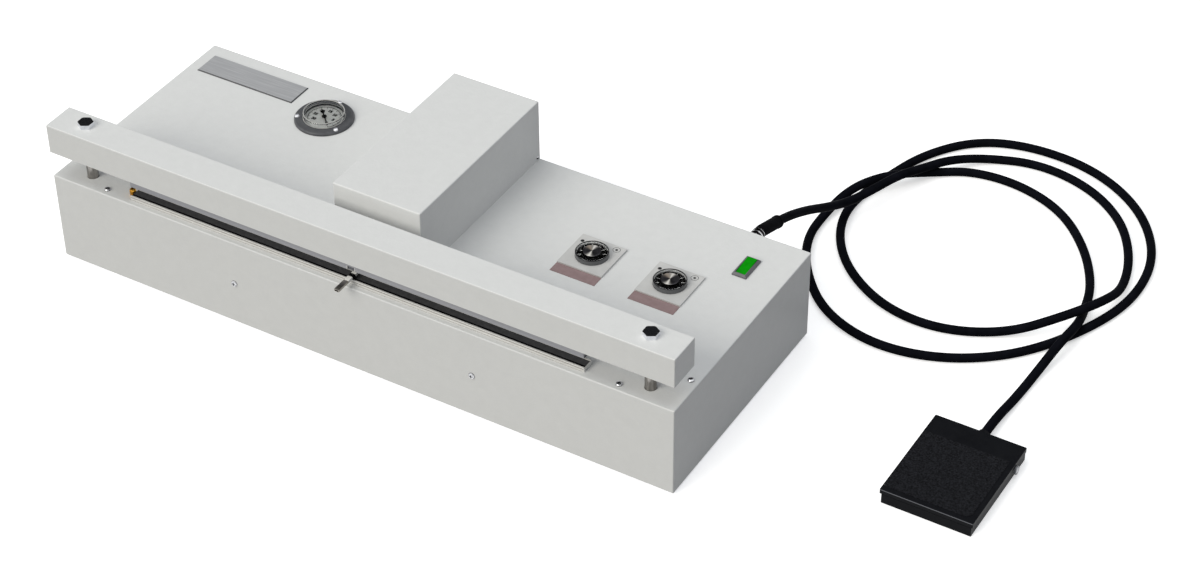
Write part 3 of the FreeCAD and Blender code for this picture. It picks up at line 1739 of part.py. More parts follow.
# The cord lies on the table in two loose loops and a third part turn.
# A strand that passes over another rises between two points, one each side.
table = D["cord_diameter"].number / 2
over = 15.5
high = 21.5
collar_end = D["pedal_front"] + D["pedal_length"] + D["cord_collar_length"]
pedal_entry = Vector(D["cord_entry_x"].number, collar_end.number, D["cord_entry_z"].number)
CORD_ROUTE = [
    sleeve_end,
    Vector(285, 201, 74.2),
    Vector(287, 240, 56.5),
    Vector(291, 275, 38.5),
    Vector(297, 312, 22.5),
    Vector(309, 345, 22),
    Vector(321, 378, 23),
    Vector(334, 408, 17.5),
    Vector(350, 442, 13),
    Vector(378, 474, table),
    Vector(428, 491, table),
    Vector(487, 480, table),
    Vector(536, 446, table),
    Vector(567, 396, table),
    Vector(581, 345, table),
    Vector(580, 298, high),
    Vector(556, 257, high),
    Vector(512, 225, table),
    Vector(455, 197, table),
    Vector(395, 200, table),
    Vector(340, 232, table),
    Vector(304, 277, table),
    Vector(289, 328, table),
    Vector(300, 385, table),
    Vector(318, 447, table),
    Vector(356, 497, table),
    Vector(412, 516, table),
    Vector(482, 510, table),
    Vector(545, 473, table),
    Vector(587, 412, table),
    Vector(597, 345, table),
    Vector(582, 282, table),
    Vector(540, 207, table),
    Vector(480, 160, table),
    Vector(410, 144, table),
    Vector(346, 165, table),
    Vector(302, 212, table),
    Vector(278, 260, table),
    Vector(275, 305, table),
    Vector(285, 345, over),
    Vector(308, 384, over),
    Vector(337, 422, table),
    Vector(375, 446, table),
    Vector(428, 448, table),
    Vector(482, 427, table),
    Vector(525, 382, table),
    Vector(553, 332, table),
    Vector(562, 292, table),
    Vector(569, 258, over),
    Vector(565, 226, over),
    Vector(559, 180, table),
    Vector(557, 140, table),
    pedal_entry + Vector(0, D["cord_last_run"].number, 0),
    pedal_entry,
]
node("foot_cord", tube_along("cord", CORD_ROUTE, D["cord_diameter"].number / 2))


# Foot switch: tray, pin, rocking treadle with a grip pad, spring and snap switch

pedal_y = D["pedal_front"] + D["pedal_length"] / 2
pedal_back = D["pedal_front"] + D["pedal_length"]
pedal_at = (D["pedal_x"], pedal_y)
plate_z = D["treadle_top"] - D["treadle_plate"]
tray_blank = block(
    "tray_blank", (D["pedal_width"], D["pedal_length"], D["pedal_side_height"]), (*pedal_at, 0)
)
tray_hollow = block(
    "tray_hollow",
    (
        D["pedal_width"] - 2 * D["pedal_wall"],
        D["pedal_length"] - 2 * D["pedal_wall"],
        D["pedal_side_height"],
    ),
    (*pedal_at, D["pedal_floor"]),
)
lug_top = plate_z - 4 * D["fit_gap"]
pedal_half = D["pedal_width"] / 2
tray_parts = [cut("tray", tray_blank, tray_hollow)]
for side in (-1, 1):
    tray_parts.append(
        block(
            f"tray_lug_{side}",
            (D["pedal_wall"], 6 * D["pin_radius"], lug_top - D["pedal_floor"]),
            (
                D["pedal_x"] + side * (pedal_half - D["pedal_wall"] / 2),
                D["pin_y"],
                D["pedal_floor"],
            ),
        )
    )
tray_parts.append(
    block(
        "tray_back",
        (4 * D["cord_collar_radius"], D["pedal_wall"], plate_z - D["fit_gap"] - D["pedal_floor"]),
        (D["pedal_x"], pedal_back - D["pedal_wall"] / 2, D["pedal_floor"]),
    )
)
tray_parts.append(
    rod(
        "tray_collar",
        D["cord_collar_radius"],
        D["cord_collar_length"] + D["pedal_wall"] / 2,
        (D["cord_entry_x"], pedal_back - D["pedal_wall"] / 2, D["cord_entry_z"]),
        BACK,
    )
)
pin_bore = rod(
    "pin_bore",
    D["pin_radius"],
    2 * D["pedal_width"],
    (D["pedal_x"] - D["pedal_width"], D["pin_y"], D["pin_z"]),
    RIGHT,
)
node("pedal_base", cut("pedal_tray", fuse("tray_blank_set", *tray_parts), pin_bore))

pivot_pin = rod(
    "pivot_pin",
    D["pin_radius"],
    D["pin_length"],
    (D["pedal_x"] - D["pin_length"] / 2, D["pin_y"], D["pin_z"]),
    RIGHT,
)
pin_head_inside = D["treadle_width"] / 2 + D["running_gap"]
pin_head_length = D["pin_length"] / 2 - pin_head_inside
pin_heads = []
for side, turn in ((-1, LEFT), (1, RIGHT)):
    head_x = D["pedal_x"] + side * pin_head_inside
    pin_heads.append(
        rod(
            f"pin_head_{side}",
            D["pin_head_radius"],
            pin_head_length,
            (head_x, D["pin_y"], D["pin_z"]),
            turn,
        )
    )
node("pedal_pin", fuse("pin_with_heads", pivot_pin, *pin_heads))

treadle_front = D["pedal_front"] - D["treadle_skin"] - 2 * D["fit_gap"]
treadle_y = treadle_front + D["treadle_length"] / 2
skirt_z = D["treadle_top"] - D["treadle_skirt"]
treadle_blank = padded(
    "treadle_plate",
    "XY_Plane",
    rectangle(D["treadle_width"], D["treadle_length"]),
    D["treadle_skirt"],
)
round_edges(treadle_blank, D["treadle_skin"] * 0.9, lambda edge: is_upright(edge))
place(treadle_blank, (D["pedal_x"], treadle_y, skirt_z))
treadle_hollow = block(
    "treadle_hollow",
    (
        D["treadle_width"] - 2 * D["treadle_skin"],
        D["treadle_length"],
        plate_z - skirt_z + D["treadle_skin"],
    ),
    (D["pedal_x"], treadle_y + D["treadle_skin"], skirt_z - D["treadle_skin"]),
)
treadle_parts = [cut("treadle_shell", treadle_blank, treadle_hollow)]
ear_drop = D["pin_z"] - 1.5 * D["pin_radius"]
ear_x = pedal_half - 1.5 * D["pedal_wall"] - D["fit_gap"]
for side in (-1, 1):
    treadle_parts.append(
        block(
            f"treadle_ear_{side}",
            (D["pedal_wall"], 5 * D["pin_radius"], plate_z - ear_drop),
            (D["pedal_x"] + side * ear_x, D["pin_y"], ear_drop),
        )
    )
ear_bore = rod(
    "ear_bore",
    D["pin_radius"] + D["running_gap"],
    2 * D["pedal_width"],
    (D["pedal_x"] - D["pedal_width"], D["pin_y"], D["pin_z"]),
    RIGHT,
)
node("treadle", cut("treadle_cut", fuse("treadle_set", *treadle_parts), ear_bore))

grip_width = D["treadle_width"] - D["grip_left_margin"] - D["grip_right_margin"]
grip_x = D["pedal_x"] + (D["grip_left_margin"] - D["grip_right_margin"]) / 2
grip_front = treadle_front + D["grip_front_margin"]
grip_length = D["pin_y"] - D["pin_radius"] - grip_front
grip = padded("grip", "XY_Plane", rectangle(grip_width, grip_length), D["grip_height"])
grip_corner_x = (grip_width / 2).number - 0.01
grip_corner_y = 0.01 - (grip_length / 2).number


def is_grip_corner(edge):
    middle = edge.CenterOfMass
    return is_upright(edge) and middle.x > grip_corner_x and middle.y < grip_corner_y


round_edges(grip, D["grip_round"], is_grip_corner)
node("treadle_grip", place(grip, (grip_x, grip_front + grip_length / 2, D["treadle_top"])))

pedal_spring_y = pedal_y - D["spring_inset"]
node(
    "pedal_spring",
    ribbed_spring(
        "pedal_coil",
        2.5 * D["pin_radius"],
        0.6 * D["pin_radius"],
        plate_z - D["pedal_floor"],
        4,
        (D["pedal_x"], pedal_spring_y, D["pedal_floor"]),
    ),
)
snap_y = D["pin_y"] - D["snap_reach"]
snap_height = D["snap_height"]
snap_body = block(
    "snap_body",
    (D["snap_length"], D["snap_width"], snap_height),
    (D["pedal_x"], snap_y, D["pedal_floor"]),
)
snap_plunger = rod(
    "snap_plunger",
    D["snap_plunger_radius"],
    snap_height + D["snap_plunger_radius"],
    (D["pedal_x"], snap_y, D["pedal_floor"]),
)
node("pedal_switch", fuse("snap_switch", snap_body, snap_plunger))


# Check every object, then write one file for each piece

doc.recompute()
for item in doc.Objects:
    if "Invalid" in item.State or "Error" in item.State:
        raise RuntimeError(f"{item.Label} failed: {item.State}")
os.makedirs("parts", exist_ok=True)
for piece in nodes:
    shape = piece.Shape
    if shape.isNull() or not shape.isValid() or not shape.Solids:
        raise RuntimeError(f"{piece.Label} has no valid solid")
    shape.exportStep(f"parts/{piece.Label}.step")
print(f"{len(nodes)} nodes, {sum(len(piece.Shape.Solids) for piece in nodes)} solids")
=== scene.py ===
# %% [markdown]
# # A table-top nozzle vacuum sealer
# The machine draws the air out of a bag through a flat nozzle and seals the bag between two
# long jaws. The solids of its case, jaws, controls and foot switch arrive already modelled, in
# metres, in one shared frame: X runs along the jaws, Y to the back and Z up. This lesson
# gives them their finishes and adds what solids are poor at, such as cords, coils and print.

import math

import bmesh
import bpy
from mathutils import Matrix, Quaternion, Vector


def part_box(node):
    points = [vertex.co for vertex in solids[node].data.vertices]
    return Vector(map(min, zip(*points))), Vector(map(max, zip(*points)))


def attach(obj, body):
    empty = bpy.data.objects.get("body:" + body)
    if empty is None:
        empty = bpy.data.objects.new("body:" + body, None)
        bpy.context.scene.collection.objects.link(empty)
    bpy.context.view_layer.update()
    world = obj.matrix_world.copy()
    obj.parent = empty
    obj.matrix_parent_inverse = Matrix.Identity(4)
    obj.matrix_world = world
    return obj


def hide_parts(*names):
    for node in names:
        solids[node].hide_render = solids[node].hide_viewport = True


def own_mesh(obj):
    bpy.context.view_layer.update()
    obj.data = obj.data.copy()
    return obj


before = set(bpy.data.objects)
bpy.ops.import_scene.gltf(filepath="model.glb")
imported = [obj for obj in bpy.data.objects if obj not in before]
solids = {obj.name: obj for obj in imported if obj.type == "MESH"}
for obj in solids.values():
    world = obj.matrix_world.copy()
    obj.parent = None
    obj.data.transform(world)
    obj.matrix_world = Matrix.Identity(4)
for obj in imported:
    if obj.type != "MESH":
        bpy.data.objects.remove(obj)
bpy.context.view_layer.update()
MM = 0.001

# %% [markdown]
# ## The camera
# The photograph looks down on the machine from its front right corner, through a long lens,
# so that parallel edges stay nearly parallel. A camera is placed by the spot where it stands
# and the point that it looks at. It is rolled by not quite half a degree.

# %% Place the camera
CAMERA_SPOT = Vector((1246.6, -1761.8, 1739.4)) * MM
CAMERA_AIM = Vector((203.5, -17.1, 100.0)) * MM
CAMERA_ROLL = math.radians(-0.43)

camera = bpy.data.objects.new("camera", bpy.data.cameras.new("camera"))
bpy.context.scene.collection.objects.link(camera)
camera.data.sensor_width = 36
camera.data.lens = 85.13
camera.location = CAMERA_SPOT
camera.rotation_mode = "QUATERNION"
level_view = (CAMERA_AIM - CAMERA_SPOT).to_track_quat("-Z", "Y")
camera.rotation_quaternion = level_view @ Quaternion((0, 0, 1), CAMERA_ROLL)
bpy.context.scene.camera = camera
bpy.context.scene.view_settings.view_transform = "Standard"
print("camera", round((CAMERA_AIM - CAMERA_SPOT).length, 2), "m from what it looks at")

# %% [markdown]
# ## The foot cord
# The cord leaves a sleeve at the back, comes down to the table, makes two loose loops and
# ends in the foot switch. It could be a mesh tube, but a curve keeps one smooth line that is
# easy to move: a NURBS spline of order 3 pulled along by a list of points. Where one strand
# passes over another, two points lift it, one on each side of the crossing. Lengths in the
# list are in millimetres. Blender pads the box of a curve by the radius of its points, so the
# half diameter goes there, times a bevel of 1.

# %% Lay the cord
CORD_DIAMETER = 9.0
TABLE = CORD_DIAMETER / 2
OVER = 15.5
HIGH = 21.5
CORD_ROUTE = [
    (285, 179.5, 81.5),
    (285, 201, 74.2),
    (287, 240, 56.5),
    (291, 275, 38.5),
    (297, 312, 22.5),
    (309, 345, 22),
    (321, 378, 23),
    (334, 408, 17.5),
    (350, 442, 13),
    (378, 474, TABLE),
    (428, 491, TABLE),
    (487, 480, TABLE),
    (536, 446, TABLE),
    (567, 396, TABLE),
    (581, 345, TABLE),
    (580, 298, HIGH),
    (556, 257, HIGH),
    (512, 225, TABLE),
    (455, 197, TABLE),
    (395, 200, TABLE),
    (340, 232, TABLE),
    (304, 277, TABLE),
    (289, 328, TABLE),
    (300, 385, TABLE),
    (318, 447, TABLE),
    (356, 497, TABLE),
    (412, 516, TABLE),
    (482, 510, TABLE),
    (545, 473, TABLE),
    (587, 412, TABLE),
    (597, 345, TABLE),
    (582, 282, TABLE),
    (540, 207, TABLE),
    (480, 160, TABLE),
    (410, 144, TABLE),
    (346, 165, TABLE),
    (302, 212, TABLE),
    (278, 260, TABLE),
    (275, 305, TABLE),
    (285, 345, OVER),
    (308, 384, OVER),
    (337, 422, TABLE),
    (375, 446, TABLE),
    (428, 448, TABLE),
    (482, 427, TABLE),
    (525, 382, TABLE),
    (553, 332, TABLE),
    (562, 292, TABLE),
    (569, 258, OVER),
    (565, 226, OVER),
    (559, 180, TABLE),
    (557, 140, TABLE),
    (554.5, 104, 8),
    (554.5, 78, 8),
]

cord_curve = bpy.data.curves.new("foot_cord_line", "CURVE")
cord_curve.dimensions = "3D"
cord_curve.resolution_u = 16
cord_curve.bevel_depth = 1.0
cord_curve.bevel_resolution = 8
cord_line = cord_curve.splines.new("NURBS")
cord_line.points.add(len(CORD_ROUTE) - 1)
for point, spot in zip(cord_line.points, CORD_ROUTE):
    point.co = (*(Vector(spot) * MM), 1)
    point.radius = CORD_DIAMETER / 2 * MM
cord_line.order_u = 3
cord_line.use_endpoint_u = True
cord = bpy.data.objects.new("foot_cord_round", cord_curve)
bpy.context.scene.collection.objects.link(cord)
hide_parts("foot_cord")
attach(cord, "machine")
print("cord through", len(CORD_ROUTE), "points")

# %% [markdown]
# ## Light and floor
# A product photograph like this one has a white ground, soft light from above and a warmer
# light from the front left, which leaves the machine's right side in shade. The front of the
# case is equally bright from end to end, so the light comes from far off: a sun lamp with
# a wide disc, which gives soft shadows. A second one stands overhead. Behind the machine
# hangs a black flag, as studios use, so that glass and polished tops have something dark to
# reflect. The camera doesn't see it.

# %% Hang the lamps
def hang_sun(name, towards, power, disc, colour):
    """A sun lamp that shines from a direction; power is 1 where it alone shows white as white."""
    lamp = bpy.data.lights.new(name, "SUN")
    lamp.energy = power * math.pi
    lamp.angle = math.radians(disc)
    lamp.color = colour
    holder = bpy.data.objects.new(name, lamp)
    holder.location = Vector(towards) * 3
    holder.rotation_mode = "QUATERNION"
    holder.rotation_quaternion = Vector(towards).to_track_quat("Z", "Y")
    bpy.context.scene.collection.objects.link(holder)


hang_sun("front_left_light", (-0.33, -0.77, 0.56), 0.65, 40, (1.0, 0.97, 0.9))
hang_sun("overhead_light", (-0.1, 0.1, 1.0), 0.27, 60, (0.98, 1.0, 1.0))

def hang_square(name, half):
    """A flat square sheet of the studio, which isn't a piece of the machine."""
    mesh = bpy.data.meshes.new(name)
    corners = [(-half, -half, 0), (half, -half, 0), (half, half, 0), (-half, half, 0)]
    mesh.from_pydata(corners, [], [range(4)])
    square = bpy.data.objects.new(name, mesh)
    bpy.context.scene.collection.objects.link(square)
    return square


flag = hang_square("black_flag", 2.2)
flag.location = (-1.9, 3.1, 2.9)
flag.rotation_mode = "QUATERNION"
flag.rotation_quaternion = Vector((0.42, -0.69, -0.6)).to_track_quat("Z", "Y")
flag.visible_camera = False
flag.visible_diffuse = False
flag.visible_shadow = False
felt = bpy.data.materials.new("black_felt")
felt.use_nodes = True
felt.node_tree.nodes["Principled BSDF"].inputs["Base Color"].default_value = (0.01, 0.01, 0.01, 1)
felt.node_tree.nodes["Principled BSDF"].inputs["Roughness"].default_value = 0.9
flag.data.materials.append(felt)
print("two suns and a flag")


# %% [markdown]
# Colours are written the way a picture editor shows them, as sRGB hex values. Shaders
# work in linear light, so one function turns them. A second function adds a shader node with
# its settings and links, and a third adds one that reckons with numbers. They keep each
# material down to a few readable lines.

# %% Helpers for every material
def linear(hex_colour):
    """An sRGB colour such as #d4d6d5 as the linear colour that a shader takes."""
    channels = [int(hex_colour[i : i + 2], 16) / 255 for i in (1, 3, 5)]
    return (*(c / 12.92 if c <= 0.04045 else ((c + 0.055) / 1.055) ** 2.4 for c in channels), 1)


def add(tree, kind, settings=None, links=None):
    """Adds a node. Settings fill sockets or properties, links feed sockets from outputs."""
    made = tree.nodes.new("ShaderNode" + kind)
    for name, value in (settings or {}).items():
        if isinstance(name, int) or name in made.inputs:
            made.inputs[name].default_value = value
        else:
            setattr(made, name, value)
    for name, output in (links or {}).items():
        tree.links.new(output, made.inputs[name])
    return made


def reckon(tree, operation, first, second=None):
    """What a Math node gives out. An input is a number or what another node gives out."""
    made = add(tree, "Math", {"operation": operation})
    for i, value in enumerate((first, second)):
        if isinstance(value, bpy.types.NodeSocket):
            tree.links.new(value, made.inputs[i])
        elif value is not None:
            made.inputs[i].default_value = value
    return made.outputs[0]


print("middle grey #808080 is", round(linear("#808080")[0], 3), "in linear light")

# %% [markdown]
# The ground is pure white to whatever looks at it, which is the camera, a mirror or a glass.
# Light that only bounces about meets a dim sky and a grey floor instead, so the white ground
# doesn't wash out the machine's sides. The floor still takes the machine's shadow.

# %% World and floor
def looked_at(tree):
    """1 for rays from the camera, a mirror or a glass, and 0 for all other light."""
    path = add(tree, "LightPath")
    seen = reckon(tree, "MAXIMUM", path.outputs["Is Camera Ray"], path.outputs["Is Glossy Ray"])
    return reckon(tree, "MAXIMUM", seen, path.outputs["Is Transmission Ray"])


world = bpy.data.worlds.new("studio")
bpy.context.scene.world = world
world.use_nodes = True
air = world.node_tree
air.nodes.clear()
fill_light = add(air, "Background", {"Color": linear("#f6f9ff"), "Strength": 0.4})
white_ground = add(air, "Background", {"Color": linear("#ffffff"), "Strength": 1.0})
chosen_air = add(
    air,
    "MixShader",
    None,
    {0: looked_at(air), 1: fill_light.outputs[0], 2: white_ground.outputs[0]},
)
add(air, "OutputWorld", None, {"Surface": chosen_air.outputs[0]})

FLOOR_HALF = 30.0
floor = hang_square("floor", FLOOR_HALF)
paper = bpy.data.materials.new("white_studio_paper")
paper.use_nodes = True
sheet = paper.node_tree
sheet.nodes.clear()
paper_grey = add(sheet, "BsdfDiffuse", {"Color": linear("#6e6e6e")})
paper_white = add(sheet, "BsdfDiffuse", {"Color": linear("#fbfbfb")})
paper_glow = add(sheet, "Emission", {"Color": linear("#ffffff"), "Strength": 0.45})
paper_bright = add(sheet, "AddShader", None, {0: paper_white.outputs[0], 1: paper_glow.outputs[0]})
paper_mix = add(
    sheet,
    "MixShader",
    None,
    {0: looked_at(sheet), 1: paper_grey.outputs[0], 2: paper_bright.outputs[0]},
)
add(sheet, "OutputMaterial", None, {"Surface": paper_mix.outputs[0]})
floor.data.materials.append(paper)
print("floor", 2 * FLOOR_HALF, "m wide")


# %% [markdown]
# ## How each finish is made
# Every finish starts from one Principled shader. What makes it look real is that nothing on
# it is quite even: the colour drifts a little and the surface has a fine grain. One function
# lays both on by noise in the object's own coordinates, which are metres here, so a feature
# of so many millimetres is a scale of 1000 divided by that size. Masks then lay a second
# colour where a piece is worn, grooved or printed.

# %% A finish with drift and grain
def finish(name, light, dark, drift_mm, grain_mm, bump_mm, stretch=(1, 1, 1), **sockets):
    """A material whose colour drifts from dark to light and whose surface has a fine grain."""
    material = bpy.data.materials.new(name)
    material.use_nodes = True
    tree = material.node_tree
    shader = tree.nodes["Principled BSDF"]
    for socket, value in sockets.items():
        shader.inputs[socket.replace("_", " ")].default_value = value
    place = add(tree, "TexCoord")
    drawn = add(tree, "Mapping", {"Scale": stretch}, {"Vector": place.outputs["Object"]})
    drift = add(
        tree,
        "TexNoise",
        {"Scale": 1000 / drift_mm, "Detail": 3.0, "Roughness": 0.6},
        {"Vector": drawn.outputs[0]},
    )
    colour = add(tree, "ValToRGB", None, {"Fac": drift.outputs["Fac"]})
    colour.color_ramp.elements[0].position = 0.3
    colour.color_ramp.elements[1].position = 0.7
    colour.color_ramp.elements[0].color = linear(dark)
    colour.color_ramp.elements[1].color = linear(light)
    tree.links.new(colour.outputs["Color"], shader.inputs["Base Color"])
    grain = add(
        tree,
        "TexNoise",
        {"Scale": 1000 / grain_mm, "Detail": 2.0},
        {"Vector": drawn.outputs[0]},
    )
    relief = add(
        tree,
        "Bump",
        {"Strength": 1.0, "Distance": bump_mm * MM},
        {"Height": grain.outputs["Fac"]},
    )
    tree.links.new(relief.outputs["Normal"], shader.inputs["Normal"])
    return material


def colour_where(material, mask, hex_colour):
    """Lays a second colour over a finish where the mask is 1."""
    tree = material.node_tree
    base = tree.nodes["Principled BSDF"].inputs["Base Color"]
    mixed = add(
        tree,
        "Mix",
        {"data_type": "RGBA", 7: linear(hex_colour)},
        {0: mask, 6: base.links[0].from_socket},
    )
    tree.links.new(mixed.outputs[2], base)


def read_axis(material, source, axis):
    """One axis of the place (Object) or of the normal (Normal), in the object's coordinates."""
    tree = material.node_tree
    coordinates = add(tree, "TexCoord")
    split = add(tree, "SeparateXYZ", None, {"Vector": coordinates.outputs[source]})
    return split.outputs[axis]


def where(material, source, axis, operation, limit):
    """A mask that is 1 where one axis of the place or the normal is above or below a limit."""
    return reckon(material.node_tree, operation, read_axis(material, source, axis), limit)


def feed(material, socket, output):
    """Lets what a node gives out drive one socket of a finish's shader."""
    tree = material.node_tree
    tree.links.new(output, tree.nodes["Principled BSDF"].inputs[socket])


def dress(material, *names):
    """Gives the solids of these names one finish."""
    for name in names:
        solids[name].data.materials.clear()
        solids[name].data.materials.append(material)
    print(material.name, "on", ", ".join(names))


# %% [markdown]
# ## Powder coat
# The case, the housing and the pressing bar are folded steel sheet with a baked polyester
# powder in a warm light grey. The powder flows out into a slight orange peel of one or two
# millimetres, drawn here at 3 mm so that it shows, and the colour is nearly even.

# %% Powder-coated steel
powder_coat = finish(
    "polyester_powder_coat",
    light="#d9dad9",
    dark="#d6d7d6",
    drift_mm=9,
    grain_mm=3.0,
    bump_mm=0.12,
    Roughness=0.5,
    Specular_IOR_Level=0.25,
)
dress(powder_coat, "top_cover", "nozzle_housing", "press_bar")

# %% [markdown]
# ## Plated, ground and drawn metals
# Zinc plate is bluish and slightly cloudy. The posts are ground and then polished, and the
# fine lines that are left run along them. Extruded aluminium has die lines, here along X, so
# its grain is stretched 40 times that way. A metal keeps the default IOR.

# %% Plated steel, ground steel and aluminium
zinc_plate = finish(
    "zinc_plated_steel",
    light="#d6d8dc",
    dark="#b9bcc2",
    drift_mm=6,
    grain_mm=1.5,
    bump_mm=0.01,
    Metallic=1.0,
    Roughness=0.28,
)
ground_steel = finish(
    "ground_and_polished_steel",
    light="#a8a5a1",
    dark="#74716e",
    drift_mm=3,
    grain_mm=0.6,
    bump_mm=0.006,
    stretch=(1, 1, 0.15),
    Metallic=1.0,
    Roughness=0.2,
)
drawn_aluminium = finish(
    "extruded_aluminium",
    light="#dfdfdd",
    dark="#d2d2d1",
    drift_mm=3,
    grain_mm=0.8,
    bump_mm=0.01,
    stretch=(0.025, 1, 1),
    Metallic=0.5,
    Roughness=0.38,
    Specular_IOR_Level=0.25,
)
dress(zinc_plate, "base_pan", "nozzle_bracket", "crosshead", "plunger", "guide_bushes")
dress(ground_steel, "press_posts", "nozzle_guides", "nozzle_piston")
dress(drawn_aluminium, "nozzle_carriage", "nozzle_cylinder", "vacuum_receiver", "valve_block")

# %% [markdown]
# The two terminals of the heating ribbon are turned brass: pale gold where it is polished and
# nearly brown in the marks of the tool. The nozzle is drawn stainless steel with its lines
# along Y. The pump and its motor are painted castings, and the windings of the transformer
# and the solenoid have the copper red of their enamel.

# %% Bright metals, castings and windings
bright_nickel = finish(
    "nickel_plated_screw",
    light="#e8e8ea",
    dark="#cfd0d4",
    drift_mm=2,
    grain_mm=0.5,
    bump_mm=0.003,
    Metallic=1.0,
    Roughness=0.16,
)
polished_brass = finish(
    "turned_brass",
    light="#ffc64e",
    dark="#7d4009",
    drift_mm=1.8,
    grain_mm=0.5,
    bump_mm=0.004,
    Metallic=1.0,
    Roughness=0.14,
)
stainless_tube = finish(
    "drawn_stainless_steel",
    light="#b9b5ae",
    dark="#8e8a84",
    drift_mm=4,
    grain_mm=0.7,
    bump_mm=0.004,
    stretch=(1, 0.05, 1),
    Metallic=1.0,
    Roughness=0.2,
)
cast_iron = finish(
    "painted_cast_iron",
    light="#4a4c50",
    dark="#3a3c40",
    drift_mm=8,
    grain_mm=1.4,
    bump_mm=0.12,
    Roughness=0.6,
)
enamelled_copper = finish(
    "enamelled_copper_winding",
    light="#b0622c",
    dark="#84431c",
    drift_mm=5,
    grain_mm=0.9,
    bump_mm=0.15,
    stretch=(0.1, 0.1, 1),
    Metallic=0.6,
    Roughness=0.35,
)
dress(bright_nickel, "pedal_spring")
dress(polished_brass, "element_terminals")
dress(stainless_tube, "nozzle_tube", "heating_element")
dress(cast_iron, "vacuum_pump", "pump_motor")
dress(enamelled_copper, "transformer", "jaw_solenoid")

# %% [markdown]
# ## The jaw's channel
# The channel under the heating ribbon is extruded too, but satin rather than bright, so it
# looks nearly white. A fine groove runs along its front wall at about three fifths of its
# height; its shade is painted on as a darker line. A thin painted shadow line runs where it
# stands on the lid. Both are masks on the height.

# %% Channel with a groove
GROOVE = 0.62
GROOVE_HALF = 0.45
FOOT_SHADE = 0.35
satin_channel = finish(
    "satin_aluminium_channel",
    light="#dddcd9",
    dark="#d1d0cd",
    drift_mm=3,
    grain_mm=0.8,
    bump_mm=0.01,
    stretch=(0.025, 1, 1),
    Metallic=0.2,
    Roughness=0.45,
    Specular_IOR_Level=0.25,
)
channel_low, channel_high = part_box("jaw_channel")
groove_z = channel_low.z + GROOVE * (channel_high.z - channel_low.z)
above_groove = where(satin_channel, "Object", "Z", "GREATER_THAN", groove_z - GROOVE_HALF * MM)
below_groove = where(satin_channel, "Object", "Z", "LESS_THAN", groove_z + GROOVE_HALF * MM)
groove_painted_shade = reckon(satin_channel.node_tree, "MULTIPLY", above_groove, below_groove)
# The groove's shade is painted into the colour.
colour_where(satin_channel, groove_painted_shade, "#a5a29d")
foot_painted_shadow = where(satin_channel, "Object", "Z", "LESS_THAN", channel_low.z + FOOT_SHADE * MM)
# The shadow where the channel stands on the lid is painted into the colour.
colour_where(satin_channel, foot_painted_shadow, "#8f8c87")
dress(satin_channel, "jaw_channel")

# %% [markdown]
# ## Case screws and the cord's gland
# The case screws are zinc plated and a little dull. The shade under the rim of each pan
# head is painted on as a dark ring round it. The lid's screws face up, the others face
# the front or the back, so the mask for the rim reads the normal along the screw's own axis.

# %% Screws
LID_SCREWS_FROM = 0.5
zinc_screw = finish(
    "zinc_plated_screw",
    light="#d3d4d7",
    dark="#96979b",
    drift_mm=2.5,
    grain_mm=0.5,
    bump_mm=0.004,
    Metallic=1.0,
    Roughness=0.24,
)
screw_tree = zinc_screw.node_tree
sideways = reckon(screw_tree, "ABSOLUTE", read_axis(zinc_screw, "Normal", "Y"))
upwards = read_axis(zinc_screw, "Normal", "Z")
lid_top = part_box("top_cover")[1].z
on_lid = where(zinc_screw, "Object", "Z", "GREATER_THAN", lid_top - LID_SCREWS_FROM * MM)
along_axis = add(
    screw_tree, "Mix", {"data_type": "FLOAT"}, {0: on_lid, 2: sideways, 3: upwards}
)
rim_painted_shade = reckon(screw_tree, "LESS_THAN", along_axis.outputs[0], 0.5)
# The dark ring is painted shade under the rim of the head.
colour_where(zinc_screw, rim_painted_shade, "#26272a")
dress(zinc_screw, "cover_screws")
# The gauge's screws are zinc, painted near white and half metal as a painted highlight.
bright_painted_zinc = finish(
    "white_zinc_plated_screw",
    light="#f4f4f7",
    dark="#cfd0d6",
    drift_mm=2,
    grain_mm=0.5,
    bump_mm=0.004,
    Metallic=0.5,
    Roughness=0.25,
)
dress(bright_painted_zinc, "gauge_screws")

# %% [markdown]
# The cord's gland has polished rings with black gaps between them, one ring every 4.8 mm
# along its axis. It passes through the back wall, and its whole length is 1.6 times the part
# that stands behind the wall. What is left of the distance from the wall after whole rings
# tells ring from gap.

# %% Gland
GLAND_PITCH = 4.8
GLAND_TO_SEEN = 1.6
gland_low, gland_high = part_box("cord_gland")
gland_wall_y = gland_high.y - (gland_high.y - gland_low.y) / GLAND_TO_SEEN
ringed_nickel = finish(
    "nickel_plated_rings",
    light="#d9dadc",
    dark="#b9babd",
    drift_mm=3,
    grain_mm=0.6,
    bump_mm=0.004,
    Metallic=1.0,
    Roughness=0.25,
)
gland_tree = ringed_nickel.node_tree
gland_y = read_axis(ringed_nickel, "Object", "Y")
from_wall = reckon(gland_tree, "SUBTRACT", gland_y, gland_wall_y)
in_pitch = reckon(gland_tree, "MODULO", from_wall, GLAND_PITCH * MM)
in_gap = reckon(gland_tree, "GREATER_THAN", in_pitch, GLAND_PITCH * MM / 2)
colour_where(ringed_nickel, in_gap, "#0b0b0d")
dress(ringed_nickel, "cord_gland")
